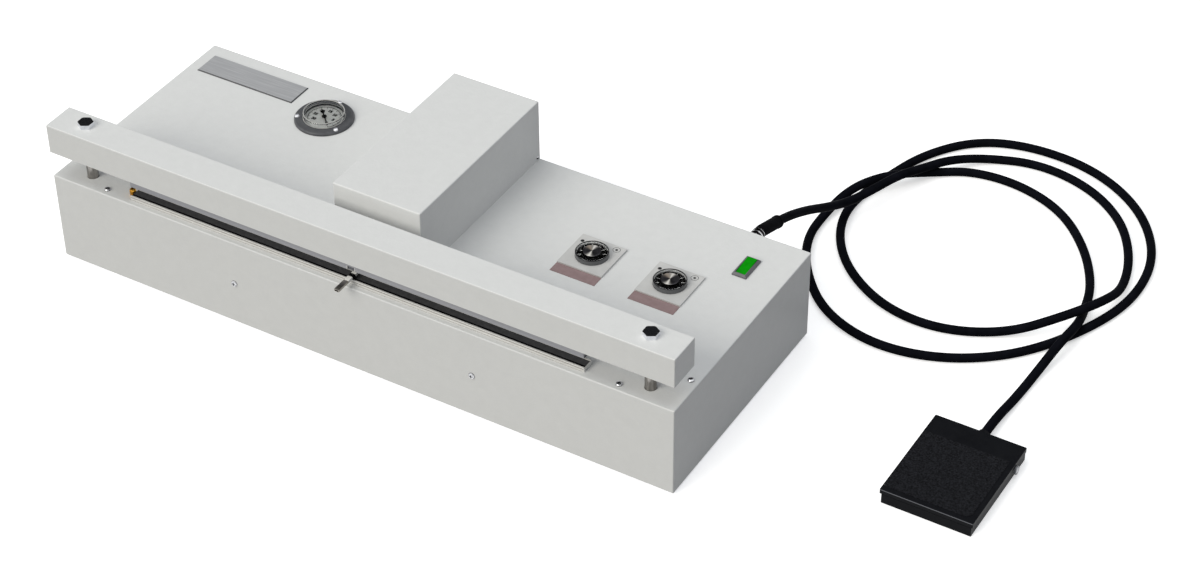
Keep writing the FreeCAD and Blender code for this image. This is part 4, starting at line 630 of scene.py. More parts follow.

# %% [markdown]
# ## Hex bolts with a painted dark face
# The two bolts that hold the pressing bar are zinc plated. The plain zinc top face of each
# head reflects dark, and that reflection is painted on as black. One material does both: it
# picks the black within 0.35 mm of the top and takes the metal away there.

# %% Bolt heads
BLACK_FACE_DEPTH = 0.35
bolt_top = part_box("bar_bolts")[1].z
zinc_with_painted_dark_face = finish(
    "zinc_plate_with_painted_dark_reflection",
    light="#f3f4f8",
    dark="#dcdee5",
    drift_mm=5,
    grain_mm=1.5,
    bump_mm=0.008,
    Metallic=1.0,
    Roughness=0.22,
)
face_from = bolt_top - BLACK_FACE_DEPTH * MM
painted_reflection_face = where(zinc_with_painted_dark_face, "Object", "Z", "GREATER_THAN", face_from)
# The black top face is a painted dark reflection.
colour_where(zinc_with_painted_dark_face, painted_reflection_face, "#17181b")
feed(zinc_with_painted_dark_face, "Metallic", reckon(zinc_with_painted_dark_face.node_tree, "SUBTRACT", 1.0, painted_reflection_face))
dress(zinc_with_painted_dark_face, "bar_bolts")

# %% [markdown]
# ## Rubber, film and plain plastics
# Rubber and PVC are near black, with hardly any sheen. The film over the heating ribbon is
# glass cloth coated with fluoropolymer. The silicone pad is grey. The bar's pad holder is
# anodised, a dull violet grey in the shade under the bar.

# %% Rubber, cord, film and pad holder
black_rubber = finish(
    "black_rubber",
    light="#121215",
    dark="#0a0a0c",
    drift_mm=5,
    grain_mm=0.7,
    bump_mm=0.03,
    Roughness=0.62,
    Specular_IOR_Level=0.008,
)
cord_pvc = finish(
    "matt_black_pvc",
    light="#13141a",
    dark="#0c0d11",
    drift_mm=14,
    grain_mm=0.9,
    bump_mm=0.015,
    Roughness=0.36,
    Specular_IOR_Level=0.002,
)
coated_cloth = finish(
    "coated_glass_cloth",
    light="#4b4b4d",
    dark="#3e3e40",
    drift_mm=4,
    grain_mm=0.8,
    bump_mm=0.04,
    Roughness=0.45,
    Specular_IOR_Level=0.08,
)
grey_silicone = finish(
    "grey_silicone",
    light="#6a6b70",
    dark="#5c5d62",
    drift_mm=6,
    grain_mm=1.0,
    bump_mm=0.02,
    Roughness=0.55,
    Specular_IOR_Level=0.2,
)
anodised_grey = finish(
    "grey_anodised_holder",
    light="#a4a5ab",
    dark="#96979d",
    drift_mm=8,
    grain_mm=0.8,
    bump_mm=0.01,
    stretch=(0.03, 1, 1),
    Roughness=0.45,
    Specular_IOR_Level=0.2,
)
dress(black_rubber, "rubber_feet", "jaw_gasket", "vacuum_hoses", "cord_sleeve")
dress(coated_cloth, "ptfe_cover")
dress(grey_silicone, "silicone_pad")
dress(anodised_grey, "pad_holder")
cord_curve.materials.append(cord_pvc)

# %% [markdown]
# What insulates the ribbon is a brown phenolic board. The inlet at the back and the snap
# switch in the foot switch are black nylon, and the circuit board has a green solder mask.

# %% Plastics inside and behind
phenolic = finish(
    "phenolic_insulator",
    light="#3b2f29",
    dark="#2a211d",
    drift_mm=5,
    grain_mm=0.8,
    bump_mm=0.02,
    Roughness=0.5,
    Specular_IOR_Level=0.2,
)
black_nylon = finish(
    "black_nylon",
    light="#1d1e20",
    dark="#141517",
    drift_mm=6,
    grain_mm=0.8,
    bump_mm=0.03,
    Roughness=0.5,
    Specular_IOR_Level=0.2,
)
circuit_green = finish(
    "green_solder_mask",
    light="#1f6b3a",
    dark="#17502b",
    drift_mm=5,
    grain_mm=1.0,
    bump_mm=0.02,
    Roughness=0.4,
    Specular_IOR_Level=0.2,
)
dress(phenolic, "element_insulator")
dress(black_nylon, "power_inlet", "pedal_switch")
dress(circuit_green, "circuit_board")

# %% [markdown]
# ## The foot switch
# Its tray and treadle are pressed steel with a smooth black stove enamel. Along the treadle's
# front top edge a fine grey line is a painted highlight. The grip on the treadle
# is a sheet of rubber with a crinkled face, whose cells are about 2 mm across.

# %% Enamel and grip
EDGE_HIGHLIGHT_WIDTH = 0.5
stove_enamel = finish(
    "black_stove_enamel",
    light="#17181b",
    dark="#121316",
    drift_mm=10,
    grain_mm=1.2,
    bump_mm=0.02,
    Roughness=0.34,
    Specular_IOR_Level=0.04,
)
crinkled_rubber = finish(
    "crinkled_grip_rubber",
    light="#26272b",
    dark="#020203",
    drift_mm=1.6,
    grain_mm=2.0,
    bump_mm=0.6,
    Roughness=0.4,
    Specular_IOR_Level=0.04,
)
treadle_low, treadle_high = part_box("treadle")
near_front = where(stove_enamel, "Object", "Y", "LESS_THAN", treadle_low.y + EDGE_HIGHLIGHT_WIDTH * MM)
near_top = where(stove_enamel, "Object", "Z", "GREATER_THAN", treadle_high.z - EDGE_HIGHLIGHT_WIDTH * MM)
edge_painted_highlight = reckon(stove_enamel.node_tree, "MULTIPLY", near_front, near_top)
# The grey line along the front top edge is a painted highlight.
colour_where(stove_enamel, edge_painted_highlight, "#6a6b70")
dress(stove_enamel, "pedal_base", "treadle")
dress(crinkled_rubber, "treadle_grip")

# %% [markdown]
# The pivot pin's ends carry a painted highlight: near white in the middle and grey round
# it. The mask is the distance from the pin's axis: the X of the place is scaled away, the
# axis is moved to zero, and the length of what is left is measured.

# %% Pivot pin
HIGHLIGHT_SHARE = 0.3
# The near-white colour is the painted highlight.
pivot_steel = finish(
    "turned_pivot_steel",
    light="#fdfdfe",
    dark="#eeeff3",
    drift_mm=3,
    grain_mm=0.6,
    bump_mm=0.005,
    Metallic=0.1,
    Roughness=0.3,
)
pin_low, pin_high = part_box("pedal_pin")
pin_y, pin_z = (pin_low.y + pin_high.y) / 2, (pin_low.z + pin_high.z) / 2
pin_tree = pivot_steel.node_tree
pin_place = add(pin_tree, "TexCoord")
from_pin = add(
    pin_tree,
    "Mapping",
    {"Location": (0, -pin_y, -pin_z), "Scale": (0, 1, 1)},
    {"Vector": pin_place.outputs["Object"]},
)
distance = add(pin_tree, "VectorMath", {"operation": "LENGTH"}, {0: from_pin.outputs[0]})
highlight_radius = (pin_high.z - pin_low.z) * HIGHLIGHT_SHARE
beyond_highlight = reckon(pin_tree, "GREATER_THAN", distance.outputs["Value"], highlight_radius)
# Grey round the painted highlight in the middle of each end.
colour_where(pivot_steel, beyond_highlight, "#7c7d82")
dress(pivot_steel, "pedal_pin")

# %% [markdown]
# ## Timers, gauge and switch
# The timers are moulded ABS in a pale grey, with a plain mauve strip under each one. The
# gauge's lens is clear acrylic, IOR 1.49, with a polished skin, and its flange is enamelled
# dark grey. The dials are gloss black on the timers and white card in the gauge.

# %% Timer and gauge finishes
timer_abs = finish(
    "moulded_grey_abs",
    light="#c9c9c7",
    dark="#c0c0be",
    drift_mm=12,
    grain_mm=0.8,
    bump_mm=0.015,
    Roughness=0.45,
    Specular_IOR_Level=0.2,
)
mauve_label = finish(
    "mauve_printed_film",
    light="#958080",
    dark="#8b7676",
    drift_mm=6,
    grain_mm=1.0,
    bump_mm=0.01,
    Roughness=0.5,
    Specular_IOR_Level=0.2,
)
clear_acrylic = finish(
    "clear_acrylic",
    light="#ffffff",
    dark="#fbfdfd",
    drift_mm=20,
    grain_mm=6,
    bump_mm=0.002,
    Roughness=0.03,
    IOR=1.49,
    Transmission_Weight=1.0,
)
gauge_enamel = finish(
    "dark_grey_enamel",
    light="#57585b",
    dark="#4d4e51",
    drift_mm=7,
    grain_mm=1.2,
    bump_mm=0.02,
    Roughness=0.42,
    Specular_IOR_Level=0.2,
)
dial_white = finish(
    "printed_dial_card",
    light="#c4c5c3",
    dark="#b8b9b7",
    drift_mm=5,
    grain_mm=0.8,
    bump_mm=0.005,
    Roughness=0.5,
    Specular_IOR_Level=0.2,
)
gloss_black = finish(
    "gloss_black_enamel",
    light="#0f0f11",
    dark="#08080a",
    drift_mm=5,
    grain_mm=2,
    bump_mm=0.005,
    Roughness=0.2,
)
dress(timer_abs, "heat_timer_case", "cool_timer_case")
dress(mauve_label, "timer_labels")
dress(clear_acrylic, "gauge_lens")
dress(gauge_enamel, "gauge_case")
dress(dial_white, "gauge_dial")
dress(gloss_black, "heat_timer_dial", "cool_timer_dial", "gauge_needle")

# %% [markdown]
# The rocker is green polycarbonate in a grey nylon bezel. The plate at the back left is
# aluminium that is brushed along X. Where its face turns away from straight up, which is at
# its edge, shade is painted on as dark.

# %% Rocker and plate finishes
green_lens = finish(
    "green_polycarbonate",
    light="#049602",
    dark="#038502",
    drift_mm=5,
    grain_mm=3,
    bump_mm=0.01,
    Roughness=0.3,
    Specular_IOR_Level=0.1,
)
bezel_nylon = finish(
    "grey_nylon_bezel",
    light="#6c6b6f",
    dark="#605f63",
    drift_mm=5,
    grain_mm=0.9,
    bump_mm=0.02,
    Roughness=0.45,
    Specular_IOR_Level=0.2,
)
brushed_plate = finish(
    "brushed_aluminium_plate",
    light="#b6b7b9",
    dark="#a2a3a6",
    drift_mm=1.6,
    grain_mm=1.2,
    bump_mm=0.02,
    stretch=(0.04, 1, 1),
    Metallic=0.25,
    Roughness=0.5,
    Specular_IOR_Level=0.25,
)
plate_edge_painted_shade = where(brushed_plate, "Normal", "Z", "LESS_THAN", 0.95)
# Painted shade on the plate's edges.
colour_where(brushed_plate, plate_edge_painted_shade, "#4a4b4d")
dress(green_lens, "power_rocker")
dress(bezel_nylon, "switch_bezel")
dress(brushed_plate, "name_plate")


# %% [markdown]
# ## Print on the dials
# A scale is thin ink. It could be a pattern in the material, but a pattern blurs up close
# and is lost when the model goes elsewhere. So each tick is a sliver of mesh, 0.05 mm thick,
# and each figure is a text curve that is turned to mesh and joined to the ticks.

# %% Helpers for thin print
INK = 0.05


def make_piece(name, mesh, body, material):
    """A new object that rides on a body and takes one finish."""
    piece = bpy.data.objects.new(name, mesh)
    bpy.context.scene.collection.objects.link(piece)
    mesh.materials.append(material)
    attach(piece, body)
    return piece


def add_slab(form, outline, low, high):
    """A flat slab with this outline between two heights, all in millimetres."""
    bottom = [form.verts.new(Vector((x, y, low)) * MM) for x, y in outline]
    top = [form.verts.new(Vector((x, y, high)) * MM) for x, y in outline]
    form.faces.new(bottom[::-1])
    form.faces.new(top)
    count = len(outline)
    for i in range(count):
        after = (i + 1) % count
        form.faces.new((bottom[i], bottom[after], top[after], top[i]))


def rectangle(left, front, right, back):
    """The outline of a rectangle with its sides along X and Y."""
    return [(left, front), (right, front), (right, back), (left, back)]


def ring_outline(radius, count=48):
    """The outline of a circle about zero."""
    turns = [2 * math.pi * i / count for i in range(count)]
    return [(radius * math.cos(turn), radius * math.sin(turn)) for turn in turns]


def tick_outline(degrees, inner, outer, width):
    """A tick that points away from the centre; 0 degrees is up the dial, and it turns clockwise."""
    turn = Matrix.Rotation(math.radians(-degrees), 2)
    half = width / 2
    corners = [(-half, inner), (half, inner), (half, outer), (-half, outer)]
    return [tuple(turn @ Vector(corner)) for corner in corners]


def figure_spot(degrees, radius):
    """A place for a figure, in the middle of the ink's thickness; degrees as for a tick."""
    turn = math.radians(degrees)
    return (radius * math.sin(turn), radius * math.cos(turn), INK / 2)


def moved(outline, spot):
    """An outline carried to a spot."""
    return [(x + spot[0], y + spot[1]) for x, y in outline]


def add_figure(form, text, size, spot, turn=0.0, bold=0.0):
    """Adds a figure of this height, centred on spot; bold widens its strokes. Millimetres."""
    line = bpy.data.curves.new("figure", "FONT")
    line.body = text
    line.size = size * MM
    line.align_x = "CENTER"
    line.align_y = "CENTER"
    line.extrude = INK / 2 * MM
    line.offset = bold * MM
    line.resolution_u = 3
    holder = bpy.data.objects.new("figure", line)
    letters = bpy.data.meshes.new_from_object(holder)
    placed = Matrix.Translation(Vector(spot) * MM) @ Matrix.Rotation(math.radians(turn), 4, "Z")
    letters.transform(placed)
    form.from_mesh(letters)
    bpy.data.objects.remove(holder)
    bpy.data.meshes.remove(letters)


def print_piece(name, form, at, body, material):
    """Turns the slabs and figures of a form to one piece at a point, in metres."""
    mesh = bpy.data.meshes.new(name)
    bmesh.ops.translate(form, verts=form.verts, vec=at)
    bmesh.ops.recalc_face_normals(form, faces=form.faces)
    form.to_mesh(mesh)
    form.free()
    return make_piece(name, mesh, body, material)


def top_centre(name):
    """The middle of a solid's top, in metres."""
    low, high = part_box(name)
    return Vector(((low.x + high.x) / 2, (low.y + high.y) / 2, high.z))


white_ink = finish(
    "white_ink", "#e6e6e4", "#dcdcda", drift_mm=3, grain_mm=1, bump_mm=0.002, Roughness=0.5
)
black_ink = finish(
    "black_ink", "#0d0d0e", "#070708", drift_mm=3, grain_mm=1, bump_mm=0.002, Roughness=0.5
)
print("ink is", INK, "mm thick")

# %% [markdown]
# The gauge's scale runs round 268 degrees of its dial, from the front right over the back to
# the front left. Seven bold figures stand on it, with ticks outside them and a thin arc round
# the ticks. Radii are in millimetres.

# %% Gauge scale
SCALE_START = 134
SCALE_TURN = -268
SCALE_STEPS = 60
FIGURES_AT = 10.6
LONG_TICKS_FROM = 14.2
SHORT_TICKS_FROM = 15.2
ARC_FROM, ARC_TO = 16.4, 17.1
gauge_spot = top_centre("gauge_dial")
scale = bmesh.new()
for step in range(SCALE_STEPS + 1):
    degrees = SCALE_START + SCALE_TURN * step / SCALE_STEPS
    inner, width = (LONG_TICKS_FROM, 0.6) if step % 5 == 0 else (SHORT_TICKS_FROM, 0.3)
    add_slab(scale, tick_outline(degrees, inner, ARC_FROM, width), 0, INK)
    if step % 10 == 0:
        add_figure(scale, str(step // 2), 4.8, figure_spot(degrees, FIGURES_AT), bold=0.42)
for step in range(SCALE_STEPS * 2):
    degrees = SCALE_START + SCALE_TURN * (step + 0.5) / (SCALE_STEPS * 2)
    add_slab(scale, tick_outline(degrees, ARC_FROM, ARC_TO, 0.66), 0, INK)
print_piece("gauge_scale", scale, gauge_spot, "machine", black_ink)
print("gauge scale of", SCALE_STEPS, "steps")

# %% [markdown]
# A spun metal cap lies on each timer's knob. Its turning lines run round the centre, so light
# spreads across them into a bow-tie. Two things draw that: the shader's anisotropy, with a
# tangent that runs round the axis, and a painted highlight: a pale colour along one line,
# and to one side of it a thin warm brown one. The metal is taken away where the highlights
# are painted, so that they stay bright. Both are cosines of the angle round the axis, raised
# to a power that makes them narrow.

# %% Spun cap material
HIGHLIGHT_LINE = math.radians(98)
WARM_HIGHLIGHT_LINE = math.radians(140)
HIGHLIGHT_POWER = 14.0
WARM_HIGHLIGHT_POWER = 7.0
spun_cap = finish(
    "spun_aluminium_cap",
    light="#4b4a4e",
    dark="#39383c",
    drift_mm=3,
    grain_mm=0.6,
    bump_mm=0.002,
    Metallic=1.0,
    Roughness=0.32,
    Anisotropic=0.7,
)
cap_tree = spun_cap.node_tree
round_lines = add(cap_tree, "Tangent", {"direction_type": "RADIAL", "axis": "Z"})
feed(spun_cap, "Tangent", round_lines.outputs[0])
cap_y, cap_x = read_axis(spun_cap, "Object", "Y"), read_axis(spun_cap, "Object", "X")
cap_angle = reckon(cap_tree, "ARCTAN2", cap_y, cap_x)
off_line = reckon(cap_tree, "SUBTRACT", cap_angle, HIGHLIGHT_LINE)
either_way = reckon(cap_tree, "ABSOLUTE", reckon(cap_tree, "COSINE", off_line))
bow_tie_highlight = reckon(cap_tree, "POWER", either_way, HIGHLIGHT_POWER)
off_warm_highlight = reckon(cap_tree, "SUBTRACT", cap_angle, WARM_HIGHLIGHT_LINE)
one_way = reckon(cap_tree, "MAXIMUM", reckon(cap_tree, "COSINE", off_warm_highlight), 0.0)
warm_highlight = reckon(cap_tree, "POWER", one_way, WARM_HIGHLIGHT_POWER)
# Painted highlights: warm brown to one side, pale along the bow-tie line.
colour_where(spun_cap, warm_highlight, "#8f8478")
colour_where(spun_cap, bow_tie_highlight, "#d6d3cd")
polished = reckon(cap_tree, "MAXIMUM", bow_tie_highlight, warm_highlight)
feed(spun_cap, "Metallic", reckon(cap_tree, "SUBTRACT", 1.0, polished))
cap_side = where(spun_cap, "Normal", "Z", "LESS_THAN", 0.9)
colour_where(spun_cap, cap_side, "#3a3a3d")
print("cap with a bow-tie along", round(math.degrees(HIGHLIGHT_LINE)), "degrees")


# %% [markdown]
# Caps, rims and beads are all turned shapes: a profile, listed as radius and height, is
# carried round the Z axis in steps, and a point on the axis closes the shape. Each dial has
# white figures along an arc of 190 degrees, each with a tick outside it.

# %% Turned shapes
def turned_mesh(name, profile, centre, steps=64):
    """A mesh turned about Z from a profile of radius and height in millimetres."""
    form = bmesh.new()
    rings = []
    for radius, height in profile:
        if radius == 0:
            rings.append([form.verts.new(Vector((0, 0, height)) * MM + centre)])
            continue
        ring = []
        for x, y in ring_outline(radius, steps):
            ring.append(form.verts.new(Vector((x, y, height)) * MM + centre))
        rings.append(ring)
    for lower, upper in zip(rings, rings[1:]):
        for i in range(steps):
            after = (i + 1) % steps
            corners = [lower[i % len(lower)], lower[after % len(lower)]]
            corners += [upper[after % len(upper)], upper[i % len(upper)]]
            face = form.faces.new(list(dict.fromkeys(corners)))
            face.smooth = True
    bmesh.ops.recalc_face_normals(form, faces=form.faces)
    mesh = bpy.data.meshes.new(name)
    form.to_mesh(mesh)
    form.free()
    return mesh


# %% Timer dials and caps
TIMERS = (("heat_timer", "heat_knob"), ("cool_timer", "cool_knob"))
DIAL_START = -125
DIAL_TURN = 190
DIAL_LAST = 6
CAP_RISE = [(0, 0.02), (8.7, 0.02), (8.75, 0.2), (8.6, 0.26)]
CAP_FACE = [(5.5, 0.34), (2.2, 0.38), (0, 0.38)]
for timer, body in TIMERS:
    spot = top_centre(f"{timer}_dial")
    figures = bmesh.new()
    for number in range(DIAL_LAST + 1):
        degrees = DIAL_START + DIAL_TURN * number / DIAL_LAST
        add_figure(figures, str(number), 3.4, figure_spot(degrees, 11.4), -degrees, bold=0.12)
        add_slab(figures, tick_outline(degrees, 13.4, 14.3, 0.5), 0, INK)
    print_piece(f"{timer}_figures", figures, spot, "machine", white_ink)
    cap_mesh = turned_mesh(f"{timer}_cap", CAP_RISE + CAP_FACE, Vector((0, 0, 0)))
    cap = make_piece(f"{timer}_cap", cap_mesh, body, spun_cap)
    cap.location = (spot.x, spot.y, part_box(f"{timer}_knob")[1].z)
    print(timer, "figures and cap")

# %% [markdown]
# Each knob is moulded in two colours: a clear roof, through which the dial is read, and a
# smoked wall. One material does both. Where the normal lies flat, in the wall, it mixes in
# grey and takes the transmission away. A dark line round the top edge is a painted dark
# reflection of the clear rim, and a pale film inside the wall is painted light for the light
# that comes through the wall, where it shows through the clear roof.

# %% Two-shot knobs
two_shot_acrylic = finish(
    "two_shot_acrylic_knob",
    light="#ffffff",
    dark="#fbfdfd",
    drift_mm=20,
    grain_mm=6,
    bump_mm=0.001,
    Roughness=0.03,
    IOR=1.49,
)
knob_tree = two_shot_acrylic.node_tree
is_roof = where(two_shot_acrylic, "Normal", "Z", "GREATER_THAN", 0.5)
is_ceiling = where(two_shot_acrylic, "Normal", "Z", "LESS_THAN", -0.5)
clear_part = reckon(knob_tree, "MAXIMUM", is_roof, is_ceiling)
wall_part = reckon(knob_tree, "SUBTRACT", 1.0, clear_part)
colour_where(two_shot_acrylic, wall_part, "#5a5b5d")
feed(two_shot_acrylic, "Transmission Weight", clear_part)
dress(two_shot_acrylic, "heat_timer_knob", "cool_timer_knob")

# %% Rims and linings of the knobs
RIM_PROFILE = [(-0.45, -0.52), (-0.34, -0.4), (-1.1, 0.02), (-1.25, -0.12)]
FILM_INSET = 1.55
FILM_TOP = -1.6
FILM_WALL = 0.08
FILM_LIFT = 0.15
rim_painted_reflection = finish(
    "black_rim_painted_reflection",
    light="#2e2f31",
    dark="#202123",
    drift_mm=3,
    grain_mm=0.6,
    bump_mm=0.004,
    Roughness=0.35,
    Specular_IOR_Level=0.15,
)
pale_film_painted_light = finish(
    "pale_lining_painted_light",
    light="#ffffff",
    dark="#dededc",
    drift_mm=4,
    grain_mm=1.5,
    bump_mm=0.01,
    stretch=(1, 1, 0.15),
    Roughness=0.35,
    Specular_IOR_Level=0.25,
)
for timer, body in TIMERS:
    low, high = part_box(f"{timer}_knob")
    at = top_centre(f"{timer}_knob")
    radius = (high.x - low.x) / 2 / MM
    rim_line = [(radius + outwards, height) for outwards, height in RIM_PROFILE]
    rim_mesh = turned_mesh(f"{timer}_rim", [*rim_line, rim_line[0]], at)
    # The dark line round the top edge is a painted dark reflection.
    make_piece(f"{timer}_rim", rim_mesh, body, rim_painted_reflection)
    film_foot = (top_centre(f"{timer}_dial").z - high.z) / MM + FILM_LIFT
    outside = radius - FILM_INSET
    film = [(outside, film_foot), (outside, FILM_TOP)]
    film += [(outside - FILM_WALL, FILM_TOP), (outside - FILM_WALL, film_foot)]
    film_mesh = turned_mesh(f"{timer}_film", [*film, film[0]], at)
    # The pale film is painted light, for the light that comes through the wall.
    make_piece(f"{timer}_film", film_mesh, body, pale_film_painted_light)
    print(timer, "knob of radius", round(radius, 1), "mm")

# %% [markdown]
# The gauge's clear lens stands up like a drum. A light bead, a painted highlight, runs round
# its foot and another round its top edge, where the clear edges catch the light. A third,
# also a painted highlight, makes the raised edge of the dial card.

# %% Beads of the gauge
BEAD_SIDES = 12
pale_highlight_bead = finish(
    "bead_painted_highlight",
    light="#b9b9b7",
    dark="#9a9a98",
    drift_mm=3,
    grain_mm=0.6,
    bump_mm=0.004,
    Roughness=0.3,
    Specular_IOR_Level=0.3,
)


def turn_bead(name, radius, height, thick, centre):
    """A round bead that runs about a centre, in millimetres."""
    bead = []
    for i in range(BEAD_SIDES + 1):
        turn = 2 * math.pi * i / BEAD_SIDES
        bead.append((radius + thick * math.cos(turn), height + thick * math.sin(turn)))
    make_piece(name, turned_mesh(name, bead, centre, 96), "machine", pale_highlight_bead)
    print(name, "of radius", round(radius, 1), "mm")


low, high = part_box("gauge_lens")
lens_at = Vector(((low.x + high.x) / 2, (low.y + high.y) / 2, low.z))
lens_radius = (high.x - low.x) / 2 / MM
lens_tall = (high.z - low.z) / MM
# Each bead is a painted highlight.
turn_bead("lens_foot_bead", lens_radius + 0.1, 0.4, 0.4, lens_at)
turn_bead("lens_top_bead", lens_radius - 0.6, lens_tall, 0.55, lens_at)
turn_bead("dial_edge_bead", 18.3, 0.2, 0.42, gauge_spot)

# %% [markdown]
# On each timer's plate there is a dark set mark at the knob's upper left and a small ringed
# screw at the upper right. Both are print too, and the ring is drawn with short ticks.

# %% Marks on the timer plates
SET_MARK = (-18.9, 14.3)
SCREW_MARK = (16.0, 18.1)
RING_LINKS = 32
for timer, body in TIMERS:
    marks = bmesh.new()
    add_slab(marks, moved(ring_outline(1.9, 24), SET_MARK), 0, INK)
    add_slab(marks, moved(ring_outline(1.3, 20), SCREW_MARK), 0, INK)
    for i in range(RING_LINKS):
        link = tick_outline(360 * i / RING_LINKS, 3.35, 3.75, 0.74)
        add_slab(marks, moved(link, SCREW_MARK), 0, INK)
    plate_top = top_centre(f"{timer}_case")
    print_piece(f"{timer}_marks", marks, plate_top, "machine", black_ink)
    print(timer, "plate marks")


# %% [markdown]
# ## Sleeves on the nozzle
# Where the nozzle crosses the hot jaw, three thin sleeves lie on it: a black one and a white
# one on either side of it. The white ones are a painted highlight along the nozzle and the
# black one a painted dark reflection of the jaw's black band. Each is a flat tube that hugs
# the nozzle, drawn as a rectangle with round corners that is pulled along Y.

# %% Nozzle sleeves
NOZZLE_WIDTH = 5.0
NOZZLE_HEIGHT = 2.5
SLEEVE_SLACK = 0.01
SLEEVE_WALL = 0.12
white_highlight_sleeve = finish(
    "white_painted_highlight_sleeve",
    light="#f6f5f1",
    dark="#e9e8e4",
    drift_mm=3,
    grain_mm=0.8,
    bump_mm=0.01,
    Roughness=0.35,
    Specular_IOR_Level=0.3,
)
nozzle_low, nozzle_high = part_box("nozzle_tube")
nozzle_middle = (nozzle_low.z + nozzle_high.z) / 2 / MM


def flat_ring(width, height, corner, steps=4):
    """The outline of a flat tube, as points across and up."""
    outline = []
    for side_x, side_z, first in ((1, 1, 0), (-1, 1, 90), (-1, -1, 180), (1, -1, 270)):
        for i in range(steps + 1):
            turn = math.radians(first + 90 * i / steps)
            x = side_x * (width / 2 - corner) + corner * math.cos(turn)
            outline.append((x, side_z * (height / 2 - corner) + corner * math.sin(turn)))
    return outline


def round_nozzle(gap, corner):
    """The outline of a flat tube that stands this far off the nozzle."""
    return flat_ring(NOZZLE_WIDTH + 2 * gap, NOZZLE_HEIGHT + 2 * gap, corner)


def pull_sleeve(name, front, back, material):
    """A flat sleeve round the nozzle between two places along Y."""
    form = bmesh.new()
    inner, outer = round_nozzle(SLEEVE_SLACK, 0.2), round_nozzle(SLEEVE_WALL, 0.3)
    loops = []
    for outline, y in ((inner, front), (outer, front), (outer, back), (inner, back)):
        loops.append([form.verts.new(Vector((x, y, nozzle_middle + z)) * MM) for x, z in outline])
    for one, other in zip(loops, loops[1:] + loops[:1]):
        for i in range(len(one)):
            after = (i + 1) % len(one)
            form.faces.new((one[i], one[after], other[after], other[i]))
    bmesh.ops.recalc_face_normals(form, faces=form.faces)
    mesh = bpy.data.meshes.new(name)
    form.to_mesh(mesh)
    form.free()
    make_piece(name, mesh, "nozzle_slide_unit", material)
    print(name, "from", front, "to", back, "mm")


# White sleeves are painted highlights, the black sleeve a painted dark reflection.
pull_sleeve("front_white_sleeve", -131.5, -125.0, white_highlight_sleeve)
pull_sleeve("black_sleeve", -125.0, -120.2, black_rubber)
pull_sleeve("back_white_sleeve", -120.2, -111.0, white_highlight_sleeve)

# %% [markdown]
# Three small plates finish the jaws. The pad holder's notch, through which the nozzle passes,
# has a white strip on either side, a painted highlight. The right end of the jaw's channel is
# closed by a thin aluminium plate.

# %% Notch highlights and channel end
NOTCH_HALF = 4.5
NOTCH_HEIGHT = 4.0
HIGHLIGHT_WALL = 0.4
holder_low, holder_high = [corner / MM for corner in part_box("pad_holder")]
# The white strips in the notch are a painted highlight.
guides = bmesh.new()
for side in (-1, 1):
    left, right = sorted((side * NOTCH_HALF, side * (NOTCH_HALF - HIGHLIGHT_WALL)))
    guide = rectangle(left, holder_low.y, right, holder_high.y)
    add_slab(guides, guide, holder_low.z, holder_low.z + NOTCH_HEIGHT)
print_piece("notch_highlights", guides, Vector((0, 0, 0)), "pressing_bar", white_highlight_sleeve)

END_THICK = 0.6
END_BELOW_TOP = 0.4
jaw_low, jaw_high = [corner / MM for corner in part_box("jaw_channel")]
jaw_end = bmesh.new()
end_outline = rectangle(jaw_high.x, jaw_low.y, jaw_high.x + END_THICK, jaw_high.y)
add_slab(jaw_end, end_outline, jaw_low.z, jaw_high.z - END_BELOW_TOP)
print_piece("channel_end", jaw_end, Vector((0, 0, 0)), "machine", drawn_aluminium)

# %% [markdown]
# ## Coil springs
# Among the solids the springs are ribbed sleeves. Here they become real coils of round wire:
# a curve that climbs round a circle, more slowly at both ends, so that the last turns lie
# closer together.

# %% Wind the springs
STEPS_PER_TURN = 28
CLOSED_ENDS = 0.6


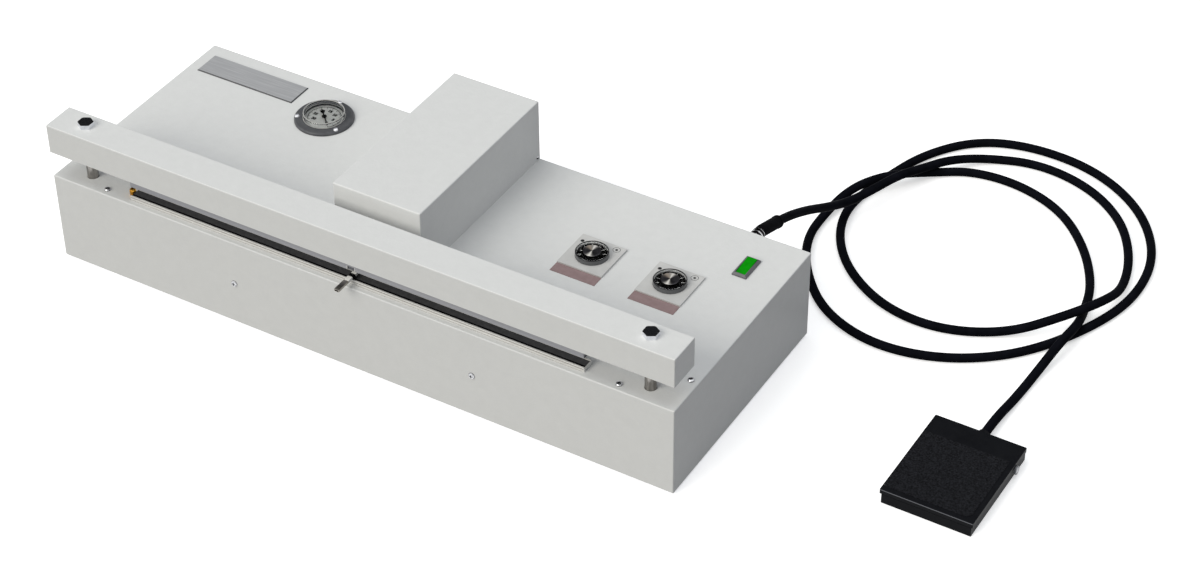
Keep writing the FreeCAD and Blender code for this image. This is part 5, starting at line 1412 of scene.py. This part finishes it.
def wind_spring(name, radius, wire, low, high, turns, spot):
    """A coil of round wire between two heights, all in millimetres, as a mesh."""
    curve = bpy.data.curves.new(name, "CURVE")
    curve.dimensions = "3D"
    curve.bevel_depth = wire / 2 * MM
    curve.bevel_resolution = 4
    curve.use_fill_caps = True
    spline = curve.splines.new("POLY")
    count = STEPS_PER_TURN * turns
    spline.points.add(count)
    start = low + wire / 2
    climb = high - low - wire
    for i, point in enumerate(spline.points):
        share = i / count
        eased = share - math.sin(2 * math.pi * share) / (2 * math.pi) * CLOSED_ENDS
        angle = 2 * math.pi * turns * share
        x = spot[0] + radius * math.cos(angle)
        y = spot[1] + radius * math.sin(angle)
        point.co = (x * MM, y * MM, (start + climb * eased) * MM, 1)
    holder = bpy.data.objects.new(name, curve)
    mesh = bpy.data.meshes.new_from_object(holder)
    bpy.data.objects.remove(holder)
    for face in mesh.polygons:
        face.use_smooth = True
    return mesh


spring_low, spring_high = [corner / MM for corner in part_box("return_springs")]
WIRE = 2.4
spring_y = (spring_low.y + spring_high.y) / 2
spring_reach = (spring_high.y - spring_low.y) / 2
return_coils = bmesh.new()
for x in (spring_low.x + spring_reach, spring_high.x - spring_reach):
    coil = wind_spring(
        "return_coil", spring_reach - WIRE / 2, WIRE, spring_low.z, spring_high.z, 8, (x, spring_y)
    )
    return_coils.from_mesh(coil)
return_mesh = bpy.data.meshes.new("return_coils")
return_coils.to_mesh(return_mesh)
return_coils.free()
return_piece = make_piece("return_coils", return_mesh, "machine", bright_nickel)
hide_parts("return_springs")
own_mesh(return_piece)

# %% [markdown]
# The foot switch has one light spring under its treadle, which rocks about its pin. The coil
# is wound at the length of the spring's part.

# %% Pedal spring
coil_low, coil_high = [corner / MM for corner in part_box("pedal_spring")]
PEDAL_WIRE = 1.2
coil_x = (coil_low.x + coil_high.x) / 2
coil_y = (coil_low.y + coil_high.y) / 2
coil_radius = (coil_high.x - coil_low.x - PEDAL_WIRE) / 2
pedal_coil_mesh = wind_spring(
    "pedal_coil", coil_radius, PEDAL_WIRE, coil_low.z, coil_high.z, 5, (coil_x, coil_y)
)
pedal_coil = make_piece("pedal_coil", pedal_coil_mesh, "machine", bright_nickel)
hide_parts("pedal_spring")
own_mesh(pedal_coil)
